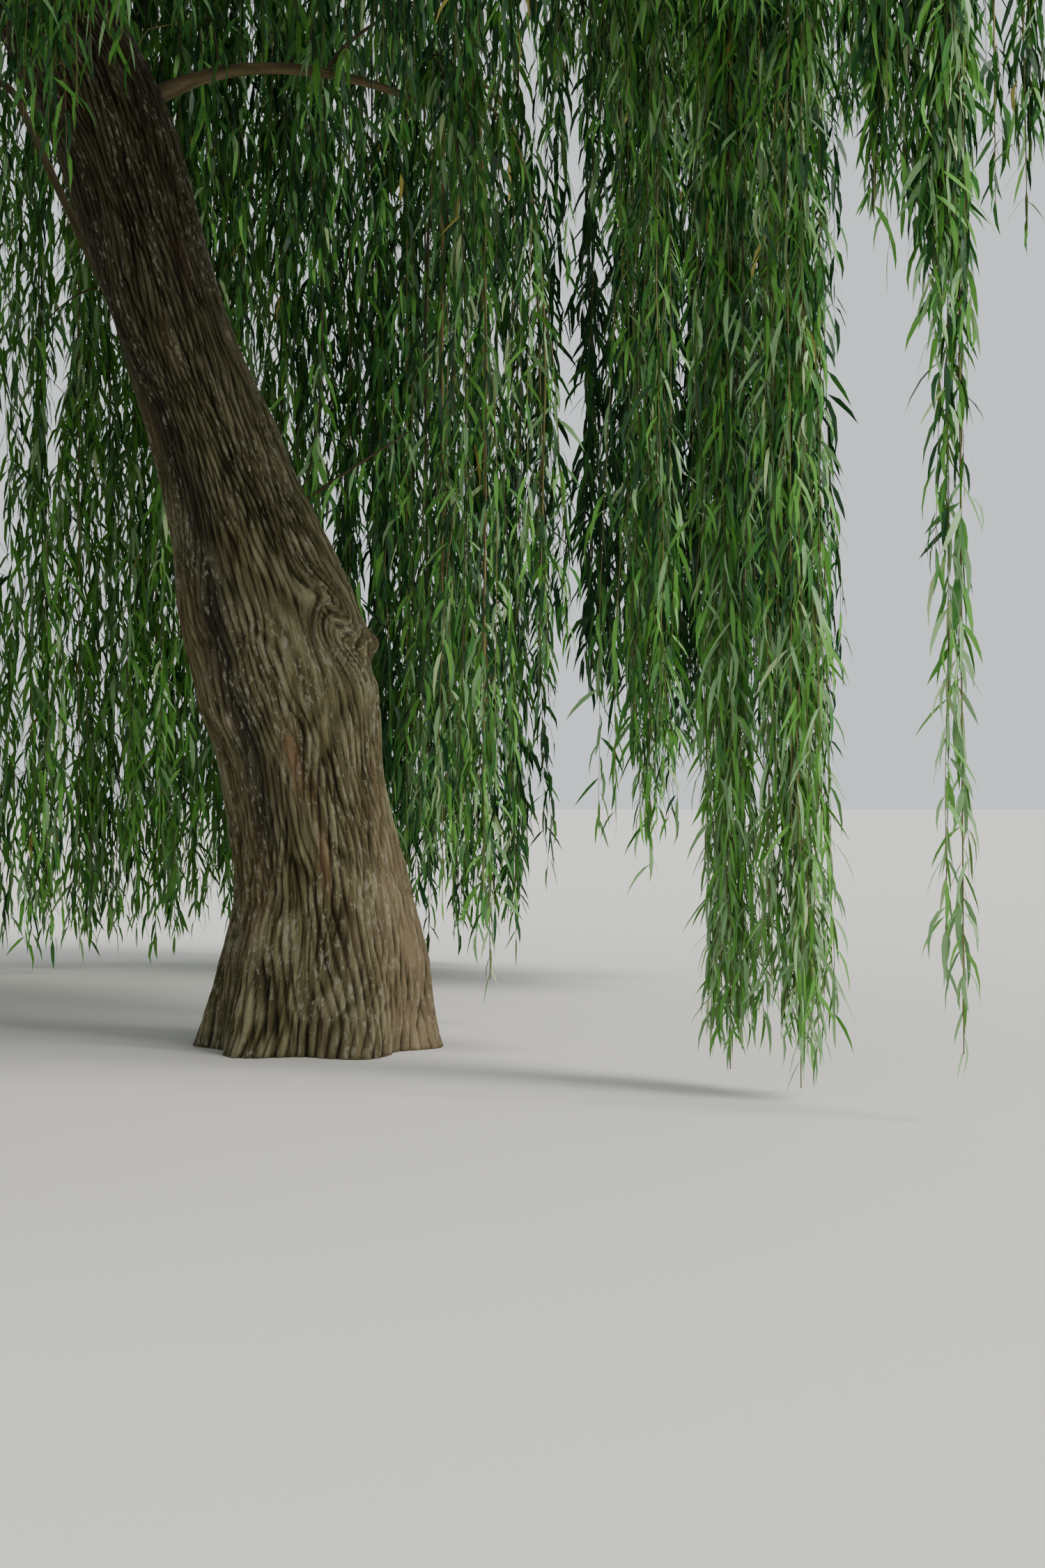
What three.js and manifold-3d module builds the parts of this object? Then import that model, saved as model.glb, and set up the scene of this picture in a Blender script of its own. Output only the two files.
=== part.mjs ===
// A weeping willow: a leaning trunk with a root flare, one tapering bough to each mass of foliage, and
// masses of hanging foliage round the open space under the crown.
// Millimetres, +Z up. The origin is the middle of the flat cut under the trunk, at ground level. The trunk
// leans towards -X, and the curtain of foliage is open on the -Y side.
import * as THREE from "three";
import { mergeVertices } from "three/addons/utils/BufferGeometryUtils.js";
import Module from "manifold-3d";

const wasm = await Module();
wasm.setup();

// What keeps two neighbours apart where one stands on the other.
const SEAT_GAP = 0.35;

// The trunk, from the flat cut to the fork: height, sideways place of its middle, and half its width.
const TRUNK = [
  { z: 0, x: 0, half: 335 },
  { z: 220, x: 12, half: 306 },
  { z: 450, x: 10, half: 262 },
  { z: 800, x: -45, half: 243 },
  { z: 1200, x: -130, half: 275 },
  { z: 1660, x: -262, half: 203 },
  { z: 2150, x: -440, half: 174 },
  { z: 2750, x: -632, half: 187 },
  { z: 3180, x: -850, half: 196 },
];
const TRUNK_SIDES = 18;
const TRUNK_RINGS = 17;
const TRUNK_DEPTH = 0.94; // its depth for each part of its width, as a level cut across a lean is wide
const TRUNK_TOP = 0.6; // how far its last ring is drawn in
const ROOTS = { count: 6, swell: 0.13, height: 190, turn: 0.5 };
const CROTCH = { x: -800, y: 0, z: 3060 }; // where the boughs of the fork come together inside the trunk

// The crown: a dome on an upright skirt.
const CROWN = { x: -1150, y: 0, radius: 3500, top: 7500, skirt: 3500, fall: 2.3, edge: 0.62 };

// Rings of masses round the middle of the crown. Angles turn from +X towards +Y, in degrees. hem is how
// high the lowest tips hang. oval is the reach of a mass away from the middle of the crown and round it.
const RINGS = [
  { name: "crown", count: 4, first: 0, step: 90, reach: 1000, hem: 4700, oval: [440, 600], tassels: 4 },
  { name: "middle", count: 4, first: 75, step: 58, reach: 2000, hem: 2500, oval: [440, 760], tassels: 5 },
  { name: "outer", count: 7, first: 85, step: 30.7, reach: 2950, hem: 60, oval: [390, 680], tassels: 5 },
];

// Masses with places of their own, mostly round the opening and on the right. core is how far from its
// middle a mass hangs down to its hem, and past that it ends at its rim. spin is the share of a full turn
// by which its spiral of tassels is turned on.
const OWN_PLACES = [
  { name: "crown_top", x: -1150, y: 0, hem: 5600, oval: [360, 360], tassels: 4 },
  { name: "near_curtain", x: 1200, y: -1070, hem: 25, rim: 3000, core: 150, oval: [330, 330], tassels: 7 },
  {
    name: "edge_strand",
    x: 1550,
    y: -1500,
    hem: 160,
    rim: 1800,
    core: 45,
    oval: [150, 150],
    tassels: 5,
    spin: 0.45,
  },
  { name: "middle_curtain", x: 920, y: -450, hem: 540, rim: 2900, core: 150, oval: [360, 360], tassels: 6 },
  { name: "right_edge", x: 2130, y: 350, hem: 2500, oval: [110, 440], tassels: 5 },
  { name: "back_right", x: 1290, y: 1840, hem: 900, oval: [400, 560], tassels: 6 },
  { name: "back_curtain", x: 210, y: 2560, hem: 90, oval: [420, 520], tassels: 6 },
  { name: "front_canopy", x: 200, y: -1150, hem: 2800, oval: [420, 480], tassels: 5 },
  { name: "near_strands", x: -500, y: -1600, hem: 2250, oval: [400, 420], tassels: 5 },
  { name: "front_edge", x: -80, y: -2640, hem: 2650, oval: [380, 560], tassels: 5 },
  { name: "front_right", x: 870, y: -2020, hem: 2700, oval: [400, 520], tassels: 5 },
];

// Two thin limbs that leave the trunk below its fork, and the small mass at the end of each. Such a mass
// keeps to a round room of its own, under the others, and its tassels rise no more than lift over the limb.
const LOW_LIMBS = [
  {
    name: "low_right",
    root: { x: -600, y: 30, z: 2760 },
    bend: { x: -260, y: 40, z: 3030 },
    tip: { x: 240, y: 170, z: 2880 },
    radius: [24, 12],
    mass: { x: 470, y: 430, hem: 150, rim: 900, core: 300, oval: [330, 330], tassels: 6 },
    room: { x: 440, y: 330, radius: 700, top: 3350 },
    lift: 150,
  },
  {
    name: "low_left",
    root: { x: -430, y: 40, z: 1850 },
    bend: { x: -620, y: 260, z: 2150 },
    tip: { x: -1010, y: 520, z: 2960 },
    radius: [18, 12],
    mass: { x: -1230, y: 760, hem: 2080, oval: [220, 220], tassels: 3 },
    room: { x: -1180, y: 700, radius: 520, top: 3350 },
    lift: 120,
  },
];

const BOUGH_SIDES = 5;
const BOUGH_STEPS = 5;
const MAIN_RADIUS = [104, 36]; // of a bough of the fork, at its root and its tip
const SIDE_RADIUS = [46, 24]; // of a bough that leaves another
const SIDE_ROOTS = [0.3, 0.88]; // the stretch of a bough of the fork that side boughs leave from
const SIDE_SHARE = 0.72; // the thickest that a side bough may be beside its parent
const MAIN_BEND = { x: 0.75, y: 0.85, z: 0.42 }; // where a bough bends, as shares of the way to its tip
const SIDE_BEND = { x: 0.42, y: 0.42, z: 0.86 };
const MAIN_SWAY = 60;
const SIDE_SWAY = 160;
const TIP_INSET = 420; // how far inside its mass's middle a bough ends
const TIP_DEPTH = 1050; // how far under the dome a bough ends
const STEM_DEPTH = 380; // how far under the dome the stem of a mass ends
const STEM_RADIUS = 18; // at the end of a stem

const TWIG_SIDES = 3;
const TWIG_RADIUS = [9, 6];
const TWIG_ROOTS = [0.35, 0.98]; // the stretch of a stem that tassels leave from
const STEM_STEPS = 3;
const ARCH_STEPS = 3;
const ARCH_SHARE = 0.4; // the share of a tassel's stations that its arch takes
const ARCH_DROP = 900; // how far under the arch's highest guide point the straight fall starts
const ARCH_LIFT = 40; // how far over the dome the guide points of the arches may be
const ARCH_SCATTER = 160; // and how much lower some of them are
const HEM_SCATTER = 420; // how much higher than its hem some tassels of a mass end
const HEM_SWING = 60; // how far a tassel's end may be from straight below its arch

// A spray of leaves, drawn as one long pointed blade: those of the fall, and one that lies over the outer
// part of a tassel's arch.
const FALL_SPRAY = { length: 1400, width: 280, thick: 46, widest: 0.42, sink: 12, apart: 0.9, splay: 0.13 };
const OVER_SPRAY = { length: 800, width: 240, thick: 36, widest: 0.5, sink: 6, from: 0.75, droop: 0.1 };

const SPACE_MARGIN = 14; // a mass keeps this far from the edge of its space
const LIMB_MARGIN = 12; // and this far from every limb
const GROUND_MARGIN = 12;

const GOLDEN = 0.381966; // of a full turn
const SEED = 0.37;
const UP = new THREE.Vector3(0, 0, 1);

const bark = new THREE.MeshStandardMaterial({ color: 0x5d5142, roughness: 0.95, metalness: 0 });
const youngBark = new THREE.MeshStandardMaterial({ color: 0x6b5a3c, roughness: 0.85, metalness: 0 });
const leaves = new THREE.MeshStandardMaterial({ color: 0x55732f, roughness: 0.6, metalness: 0 });

const vector = ({ x, y, z }) => new THREE.Vector3(x, y, z);
const mix = (a, b, t) => a + (b - a) * t;
const stations = (steps, from = 0, to = 1) =>
  Array.from({ length: steps + 1 }, (_, i) => mix(from, to, i / steps));

// An even scatter between 0 and 1, the same each time for the same two counts.
function scatter(a, b) {
  const sum = SEED + a * 0.618034 + b * 0.754878;
  return sum - Math.floor(sum);
}

// A closed solid from a geometry's triangles.
function solidOf(geometry) {
  geometry.deleteAttribute("normal");
  geometry.deleteAttribute("uv");
  const merged = mergeVertices(geometry, 1e-3);
  return new wasm.Manifold(
    new wasm.Mesh({
      numProp: 3,
      vertProperties: new Float32Array(merged.attributes.position.array),
      triVerts: new Uint32Array(merged.index.array),
    }),
  );
}

// A solid's largest body, without loose scraps and with its sealed hollows filled.
function largestBody(solid) {
  return solid.decompose().reduce((best, body) => (body.volume() > best.volume() ? body : best));
}

function meshOf(name, solid, material) {
  const { vertProperties, triVerts } = solid.getMesh();
  const geometry = new THREE.BufferGeometry();
  geometry.setAttribute("position", new THREE.BufferAttribute(vertProperties, 3));
  geometry.setIndex(new THREE.BufferAttribute(triVerts, 1));
  geometry.computeVertexNormals();
  const mesh = new THREE.Mesh(geometry, material);
  mesh.name = name;
  return mesh;
}

// One arc from root to tip, drawn towards a bend between them, with a slight sideways sway.
class Arc extends THREE.Curve {
  constructor(root, bend, tip, sway = 0) {
    super();
    Object.assign(this, { root, bend, tip, sway });
    this.side = tip.clone().sub(root).cross(UP).normalize();
  }
  getPoint(t, target = new THREE.Vector3()) {
    return target
      .set(0, 0, 0)
      .addScaledVector(this.root, (1 - t) ** 2)
      .addScaledVector(this.bend, 2 * t * (1 - t))
      .addScaledVector(this.tip, t * t)
      .addScaledVector(this.side, this.sway * Math.sin(2 * Math.PI * t));
  }
}

// A twig that arches over from its stem and then falls straight to its hem.
class Tassel extends THREE.Curve {
  constructor(root, over, hem) {
    super();
    const shoulder = Math.max(hem.z + 100, over.z - ARCH_DROP);
    this.arch = new Arc(root, over, new THREE.Vector3(over.x, over.y, shoulder));
    this.hem = hem;
  }
  getPoint(t, target = new THREE.Vector3()) {
    if (t < ARCH_SHARE) return this.arch.getPoint(t / ARCH_SHARE, target);
    return target.lerpVectors(this.arch.tip, this.hem, (t - ARCH_SHARE) / (1 - ARCH_SHARE));
  }
}

// A closed tube round a curve, with a ring at each of its stations.
function tube(curve, places, radiusAt, sides) {
  const last = places.length - 1;
  const geometry = new THREE.CylinderGeometry(1, 1, 1, sides, last);
  const rings = [];
  let across = new THREE.Vector3(1, 0.3, 0.2);
  for (const t of places) {
    const along = curve.getTangent(t);
    across = across.clone().addScaledVector(along, -across.dot(along)).normalize();
    const other = across.clone().cross(along);
    rings.push({ middle: curve.getPoint(t), across, other, radius: radiusAt(t) });
  }
  const place = geometry.attributes.position;
  for (let i = 0; i < place.count; i++) {
    const { middle, across, other, radius } = rings[Math.round((place.getY(i) + 0.5) * last)];
    const p = middle.clone();
    p.addScaledVector(across, place.getX(i) * radius).addScaledVector(other, place.getZ(i) * radius);
    place.setXYZ(i, p.x, p.y, p.z);
  }
  return geometry;
}

const trunkMiddle = new THREE.CatmullRomCurve3(TRUNK.map(({ x, z }) => new THREE.Vector3(x, 0, z)));
const trunkHalf = new THREE.CatmullRomCurve3(TRUNK.map(({ half, z }) => new THREE.Vector3(half, 0, z)));

// The trunk as level rings, with root swellings at its foot. grow makes it fatter all over.
function trunkSolid(grow) {
  const geometry = new THREE.CylinderGeometry(1, 1, 1, TRUNK_SIDES, TRUNK_RINGS);
  geometry.rotateX(Math.PI / 2);
  const place = geometry.attributes.position;
  for (let i = 0; i < place.count; i++) {
    const t = Math.round((place.getZ(i) + 0.5) * TRUNK_RINGS) / TRUNK_RINGS;
    const { x, z } = trunkMiddle.getPoint(t);
    const turn = Math.atan2(place.getY(i), place.getX(i));
    const root = Math.cos(ROOTS.count * turn + ROOTS.turn) * Math.exp(-z / ROOTS.height);
    const drawnIn = t > 0.999 ? TRUNK_TOP : 1;
    const radius = (trunkHalf.getPoint(t).x * (1 + ROOTS.swell * root) + grow) * drawnIn;
    const height = t > 0.5 ? z + grow : z;
    place.setXYZ(i, x + place.getX(i) * radius, place.getY(i) * radius * TRUNK_DEPTH, height);
  }
  return solidOf(geometry);
}

// A limb keeps its curve and its radius, so that other pieces can start on it or keep clear of it.
function limbOn(name, curve, [thick, thin]) {
  const radiusAt = (t) => mix(thick, thin, t);
  const solid = (grow) =>
    solidOf(tube(curve, stations(BOUGH_STEPS), (t) => radiusAt(t) + grow, BOUGH_SIDES));
  return { name: `bough_${name}`, curve, radiusAt, solid };
}

const turnOf = ({ x, y }) => Math.atan2(y - CROWN.y, x - CROWN.x);
const reachOf = ({ x, y }) => Math.hypot(x - CROWN.x, y - CROWN.y);

function domeHeight(x, y) {
  const out = Math.min(reachOf({ x, y }) / CROWN.radius, 1);
  return CROWN.skirt + (CROWN.top - CROWN.skirt) * (1 - out ** CROWN.fall) ** CROWN.edge;
}

function ringMasses({ name, count, first, step, reach, ...sizes }) {
  return Array.from({ length: count }, (_, i) => {
    const turn = THREE.MathUtils.degToRad(first + step * i);
    const x = CROWN.x + reach * Math.cos(turn);
    const y = CROWN.y + reach * Math.sin(turn);
    return { name: `${name}_${i + 1}`, x, y, ...sizes };
  });
}

// Where the bough of a mass ends: inside the mass's middle and under the dome.
function tipOf(mass) {
  const reach = Math.max(reachOf(mass) - TIP_INSET, 0);
  const x = CROWN.x + reach * Math.cos(turnOf(mass));
  const y = CROWN.y + reach * Math.sin(turnOf(mass));
  return new THREE.Vector3(x, y, domeHeight(x, y) - TIP_DEPTH);
}

// A point that is each of the three shares of the way from one point to another.
function between(a, b, { x, y, z }) {
  return new THREE.Vector3(mix(a.x, b.x, x), mix(a.y, b.y, y), mix(a.z, b.z, z));
}

// A bough of the fork climbs steeply and then leans out.
function mainLimb(mass, index) {
  const root = vector(CROTCH);
  const tip = tipOf(mass);
  const sway = MAIN_SWAY * (scatter(index, 5) - 0.5);
  return limbOn(mass.name, new Arc(root, between(root, tip, MAIN_BEND), tip, sway), MAIN_RADIUS);
}

// A side bough leaves its parent at t, and arches up and out to its own tip.
function sideLimb(mass, parent, t, index) {
  const root = parent.curve.getPoint(t);
  const tip = tipOf(mass);
  const thick = Math.min(SIDE_RADIUS[0], parent.radiusAt(t) * SIDE_SHARE);
  const sway = SIDE_SWAY * (scatter(index, 9) - 0.5);
  return limbOn(mass.name, new Arc(root, between(root, tip, SIDE_BEND), tip, sway), [thick, SIDE_RADIUS[1]]);
}

// Each mass outside the fork's own hangs on the bough of the fork whose direction is nearest, the
// farthest ones lowest down.
function sideLimbs(masses, mains) {
  const away = (mass, main) => {
    const off = turnOf(mass) - turnOf(main.mass);
    return Math.abs(Math.atan2(Math.sin(off), Math.cos(off)));
  };
  const families = new Map(mains.map((main) => [main, []]));
  for (const mass of masses) {
    const nearest = mains.reduce((best, main) => (away(mass, main) < away(mass, best) ? main : best));
    families.get(nearest).push(mass);
  }
  const limbs = new Map();
  for (const [main, family] of families) {
    family.sort((a, b) => reachOf(b) - reachOf(a));
    family.forEach((mass, i) => {
      const t = mix(...SIDE_ROOTS, (i + 0.5) / family.length);
      limbs.set(mass, sideLimb(mass, main.limb, t, masses.indexOf(mass)));
    });
  }
  return limbs;
}

// Whether a point keeps to a mass's own space: nearer to its middle than to any other's in plan, inside
// the crown, off the ground, and out of the rooms of the low masses.
function inSpace(mass, p, { rivals, rooms }) {
  if (p.z < GROUND_MARGIN || reachOf(p) > CROWN.radius) return false;
  const inRoom = ({ x, y, radius, top }, margin) =>
    Math.hypot(p.x - x, p.y - y) < radius + margin && p.z < top + margin;
  if (mass.room) return inRoom(mass.room, -SPACE_MARGIN);
  if (rooms.some((room) => inRoom(room, SPACE_MARGIN))) return false;
  return rivals.every((other) => {
    if (other === mass) return true;
    const east = other.x - mass.x;
    const north = other.y - mass.y;
    const past = (p.x - (mass.x + other.x) / 2) * east + (p.y - (mass.y + other.y) / 2) * north;
    return past / Math.hypot(east, north) < -SPACE_MARGIN;
  });
}

// Whether each corner of a piece is in the mass's space, with the piece clear of every limb.
function fits(geometry, solid, mass, world) {
  const place = geometry.attributes.position;
  const corners = Array.from({ length: place.count }, (_, i) =>
    new THREE.Vector3().fromBufferAttribute(place, i),
  );
  return corners.every((p) => inSpace(mass, p, world)) && solid.intersect(world.keepOut).volume() === 0;
}

// A spray as a long keeled blade of six faces: pointed at both ends, and widest on the way.
function blade({ root, along, side, size }) {
  const geometry = new THREE.SphereGeometry(1, 3, 2);
  const normal = side.clone().cross(along).normalize();
  const place = geometry.attributes.position;
  for (let i = 0; i < place.count; i++) {
    const end = place.getY(i);
    const run = end > 0.5 ? -size.sink : end < -0.5 ? size.length : size.length * size.widest;
    const p = root.clone().addScaledVector(along, run);
    p.addScaledVector(side, (place.getZ(i) * size.width) / Math.sqrt(3));
    p.addScaledVector(normal, (place.getX(i) * size.thick) / 1.5);
    place.setXYZ(i, p.x, p.y, p.z);
  }
  return geometry;
}

// Where the tassels of a mass hang: a spiral in an oval round its middle.
function tasselSpots(mass, index) {
  const turn = turnOf(mass);
  return Array.from({ length: mass.tassels }, (_, j) => {
    const out = Math.sqrt((j + 0.35) / mass.tassels);
    const angle = 2 * Math.PI * (j * GOLDEN + scatter(index, 1) + (mass.spin ?? 0));
    const a = out * mass.oval[0] * Math.cos(angle);
    const b = out * mass.oval[1] * Math.sin(angle);
    const low = !mass.core || Math.hypot(a, b) < mass.core;
    return {
      x: mass.x + a * Math.cos(turn) - b * Math.sin(turn),
      y: mass.y + a * Math.sin(turn) + b * Math.cos(turn),
      hem: (low ? mass.hem : mass.rim) + (j ? HEM_SCATTER * scatter(j, index) : 0),
    };
  });
}

// The stem of a mass starts on the tip of its bough and goes on in its direction.
function stemOf(mass, limb, roof) {
  const heading = limb.curve.getTangent(1);
  const start = limb.curve.getPoint(1).addScaledVector(heading, SEAT_GAP);
  const end = new THREE.Vector3(mass.x, mass.y, roof(mass) - (mass.room ? 0 : STEM_DEPTH));
  const bend = start.clone().addScaledVector(heading, 0.45 * start.distanceTo(end));
  return new Arc(start, bend, end);
}

// The sprays of a tassel: one over the outer part of its arch, and the others one after the other down
// its fall, each turned on by the golden angle.
function spraysOf(tassel, index) {
  const whole = tassel.getLength();
  const pitch = FALL_SPRAY.length * FALL_SPRAY.apart;
  const count = Math.max(1, Math.floor((whole - OVER_SPRAY.length) / pitch));
  const falling = Array.from({ length: count }, (_, k) => {
    const root = tassel.getPointAt(Math.max(0.1, 1 - ((count - k) * pitch) / whole));
    const turn = 2 * Math.PI * (GOLDEN * k + scatter(index, 2));
    const level = new THREE.Vector3(Math.cos(turn), Math.sin(turn), 0);
    const along = UP.clone().multiplyScalar(-1).addScaledVector(level, FALL_SPRAY.splay).normalize();
    return { root, along, side: level.cross(along).normalize(), size: FALL_SPRAY };
  });
  const root = tassel.getPoint(ARCH_SHARE * OVER_SPRAY.from);
  const along = tassel.getPoint(ARCH_SHARE).sub(root).normalize();
  const side = new THREE.Vector3(-along.y, along.x, 0).normalize();
  along.addScaledVector(UP, -OVER_SPRAY.droop).normalize();
  return [{ root, along, side, size: OVER_SPRAY }, ...falling];
}

// A mass: its stem, tassels from the stem, and sprays from the tassels. A twig or spray that doesn't fit
// is skipped, and so is a spray that would run through another.
function massSolid(mass, limb, index, world) {
  const roof = ({ x, y }) => (mass.room ? limb.curve.getPoint(1).z + mass.lift : domeHeight(x, y));
  const stem = stemOf(mass, limb, roof);
  const stemRadius = limb.radiusAt(1);
  const stemThin = (t) => mix(stemRadius, Math.min(stemRadius, STEM_RADIUS), t);
  const twigThin = (t) => mix(...TWIG_RADIUS, t);
  const rings = [...stations(ARCH_STEPS, 0, ARCH_SHARE), 1];
  let solid = solidOf(tube(stem, stations(STEM_STEPS), stemThin, TWIG_SIDES));
  const leafy = [];
  tasselSpots(mass, index).forEach((spot, j) => {
    const root = stem.getPoint(mix(...TWIG_ROOTS, (j + 0.5) / mass.tassels));
    const over = new THREE.Vector3(spot.x, spot.y, roof(spot) + ARCH_LIFT - ARCH_SCATTER * scatter(j, 4));
    const swing = HEM_SWING * (scatter(j, 6) - 0.5);
    const tassel = new Tassel(root, over, new THREE.Vector3(spot.x + swing, spot.y, spot.hem));
    const geometry = tube(tassel, rings, twigThin, TWIG_SIDES);
    const twig = solidOf(geometry);
    if (!fits(geometry, twig, mass, world)) return;
    solid = solid.add(twig);
    leafy.push(tassel);
  });
  const placed = [];
  for (const piece of leafy.flatMap((tassel, j) => spraysOf(tassel, j + index * 7))) {
    const geometry = blade(piece);
    const spray = solidOf(geometry);
    const crossed = placed.some((other) => spray.intersect(other).volume() > 0);
    if (crossed || !fits(geometry, spray, mass, world)) continue;
    placed.push(spray);
    solid = solid.add(spray);
  }
  return largestBody(solid);
}

const ownMasses = [...RINGS.flatMap(ringMasses), ...OWN_PLACES];
const isMain = ({ name }) => name.startsWith("crown");
const mains = ownMasses.filter(isMain).map((mass, i) => ({ mass, limb: mainLimb(mass, i) }));
const spreading = mains.filter(({ mass }) => reachOf(mass) > 0);
const limbs = new Map(mains.map(({ mass, limb }) => [mass, limb]));
const others = ownMasses.filter((mass) => !isMain(mass));
const sides = sideLimbs(others, spreading);
for (const mass of others) limbs.set(mass, sides.get(mass));
const masses = [...ownMasses];
for (const { name, root, bend, tip, radius, mass, ...space } of LOW_LIMBS) {
  const curve = new Arc(vector(root), vector(bend), vector(tip));
  const low = { name, ...mass, ...space };
  masses.push(low);
  limbs.set(low, limbOn(name, curve, radius));
}

let keepOut = trunkSolid(LIMB_MARGIN);
for (const limb of limbs.values()) keepOut = keepOut.add(limb.solid(LIMB_MARGIN));
const world = { rivals: ownMasses, rooms: LOW_LIMBS.map(({ room }) => room), keepOut };

const tree = new THREE.Group();
tree.add(meshOf("trunk", trunkSolid(0), bark));

// Each bough is cut back to the trunk and to the boughs before it, a seat's gap clear.
let standing = trunkSolid(SEAT_GAP);
for (const limb of limbs.values()) {
  tree.add(meshOf(limb.name, largestBody(limb.solid(0).subtract(standing)), youngBark));
  standing = standing.add(limb.solid(SEAT_GAP));
}

masses.forEach((mass, index) => {
  tree.add(meshOf(`foliage_${mass.name}`, massSolid(mass, limbs.get(mass), index, world), leaves));
});

export default tree;
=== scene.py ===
# A weeping willow dressed for looks: furrowed bark, arching boughs, hanging whips and narrow leaves.
# Metres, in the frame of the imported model: the origin is the middle of the flat cut at ground level.
import math

import bpy
import numpy as np
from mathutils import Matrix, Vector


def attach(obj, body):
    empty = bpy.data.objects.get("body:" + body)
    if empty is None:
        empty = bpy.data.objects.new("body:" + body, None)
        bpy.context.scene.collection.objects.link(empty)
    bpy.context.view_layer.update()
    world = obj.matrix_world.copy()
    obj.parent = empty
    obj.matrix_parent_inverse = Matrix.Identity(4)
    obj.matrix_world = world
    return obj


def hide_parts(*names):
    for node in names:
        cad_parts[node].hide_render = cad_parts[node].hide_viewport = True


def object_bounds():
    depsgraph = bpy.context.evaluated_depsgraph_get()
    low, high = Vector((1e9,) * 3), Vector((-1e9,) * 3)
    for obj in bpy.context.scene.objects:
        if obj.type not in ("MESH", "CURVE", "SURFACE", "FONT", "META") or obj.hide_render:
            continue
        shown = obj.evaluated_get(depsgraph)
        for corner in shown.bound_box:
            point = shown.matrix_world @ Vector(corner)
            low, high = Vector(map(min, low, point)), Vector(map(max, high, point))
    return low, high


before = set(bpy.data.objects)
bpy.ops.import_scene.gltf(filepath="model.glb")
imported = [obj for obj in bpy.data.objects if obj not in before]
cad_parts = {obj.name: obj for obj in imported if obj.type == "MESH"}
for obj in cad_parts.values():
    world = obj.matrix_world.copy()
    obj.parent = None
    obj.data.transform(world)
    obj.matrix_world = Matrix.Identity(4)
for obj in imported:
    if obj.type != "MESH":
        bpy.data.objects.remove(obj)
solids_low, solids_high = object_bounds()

# A full turn, the share of a turn from one twig or leaf to the next, and where the even scatter starts.
TURN = 2 * math.pi
GOLDEN = 0.381966
SEED = 0.37
UP = np.array([0.0, 0.0, 1.0])

# The trunk from the flat cut to the fork: height, sideways place of its middle, half its width.
TRUNK = np.array([
    (0.0, 0.0, 0.335), (0.22, 0.012, 0.306), (0.45, 0.010, 0.262), (0.8, -0.045, 0.243),
    (1.2, -0.130, 0.275), (1.66, -0.262, 0.203), (2.15, -0.440, 0.174), (2.75, -0.632, 0.187),
    (3.18, -0.850, 0.196),
])
# How deep it is for its width, how high the dome on it rises and how far that shuts, and its corners.
TRUNK_DEPTH = 0.94
TRUNK_DOME = 0.13
DOME_SHUT = 0.985
TRUNK_SIDES = 400
TRUNK_RINGS = 230
DOME_RINGS = 16
ROOTS = {"count": 6, "swell": 0.13, "height": 0.19, "turn": 0.5}
# Where the boughs of the fork start, inside the trunk's top.
CROTCH = np.array([-0.8, 0.0, 3.06])

# A patch on the trunk is its direction in degrees, its width in radians, its height and its reach up and
# down. Swells are how far out and a patch, and lumps how high, how many in a turn and a metre, and a seed.
SWELLS = [(0.026, 0, 0.5, 1.2, 0.035), (-0.016, 0, 0.5, 1.13, 0.04), (0.012, 190, 0.4, 1.0, 0.05)]
TRUNK_LUMPS = [(0.010, 6, 2.8, 31), (0.004, 16, 7, 32)]
TRUNK_GRIT = (0.0014, 130, 40, 33)
# The burl turns the grain about itself by its twist in radians. GRAIN_RUN is the way along the lean for a
# metre of height.
BURL = {"degrees": 322, "height": 1.25, "reach": 0.085, "radius": 0.26, "twist": 1.9}
GRAIN_RUN = 1.06
GRAIN_RADIUS = 0.25
# Furrows: how many in a turn and how far they slant. Then how deep the narrow and the broad ones are, and
# how far the ridges stand proud.
NARROW = {"around": 66, "slant": 4.6, "seed": 11}
BROAD = {"around": 20, "slant": 1.7, "seed": 51}
NARROW_DEPTH = 0.010
BROAD_DEPTH = 0.006
BARK_PROUD = 0.006
# Marks: a dark band that swings round, widens as painted shade of the left side, starts, and takes the top as
# painted shade of the crown, each between two heights; painted sunlight on the foot; strips without their
# outer bark, and a scar.
DARK_BAND_AND_SHADE = {"degrees": 241, "swing": 28, "swings": (1.5, 2.2), "width": 0.24, "more": 0.3, "widens": (1.4, 2.3),
        "starts": (0.45, 0.8), "top": 0.8, "tops": (1.35, 2.7)}
SUNLIT_FOOT = {"degrees": 338, "width": 0.6, "fades": (0.25, 1.0)}
BARE_STRIPS = [(270, 0.07, 0.86, 0.08), (279, 0.06, 0.56, 0.09)]
SCAR = (230, 0.045, 0.955, 0.02)

# The crown: a dome on an upright skirt.
CROWN = {"x": -1.15, "y": 0.0, "radius": 3.5, "top": 7.5, "skirt": 3.5, "fall": 2.3, "edge": 0.62}

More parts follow.
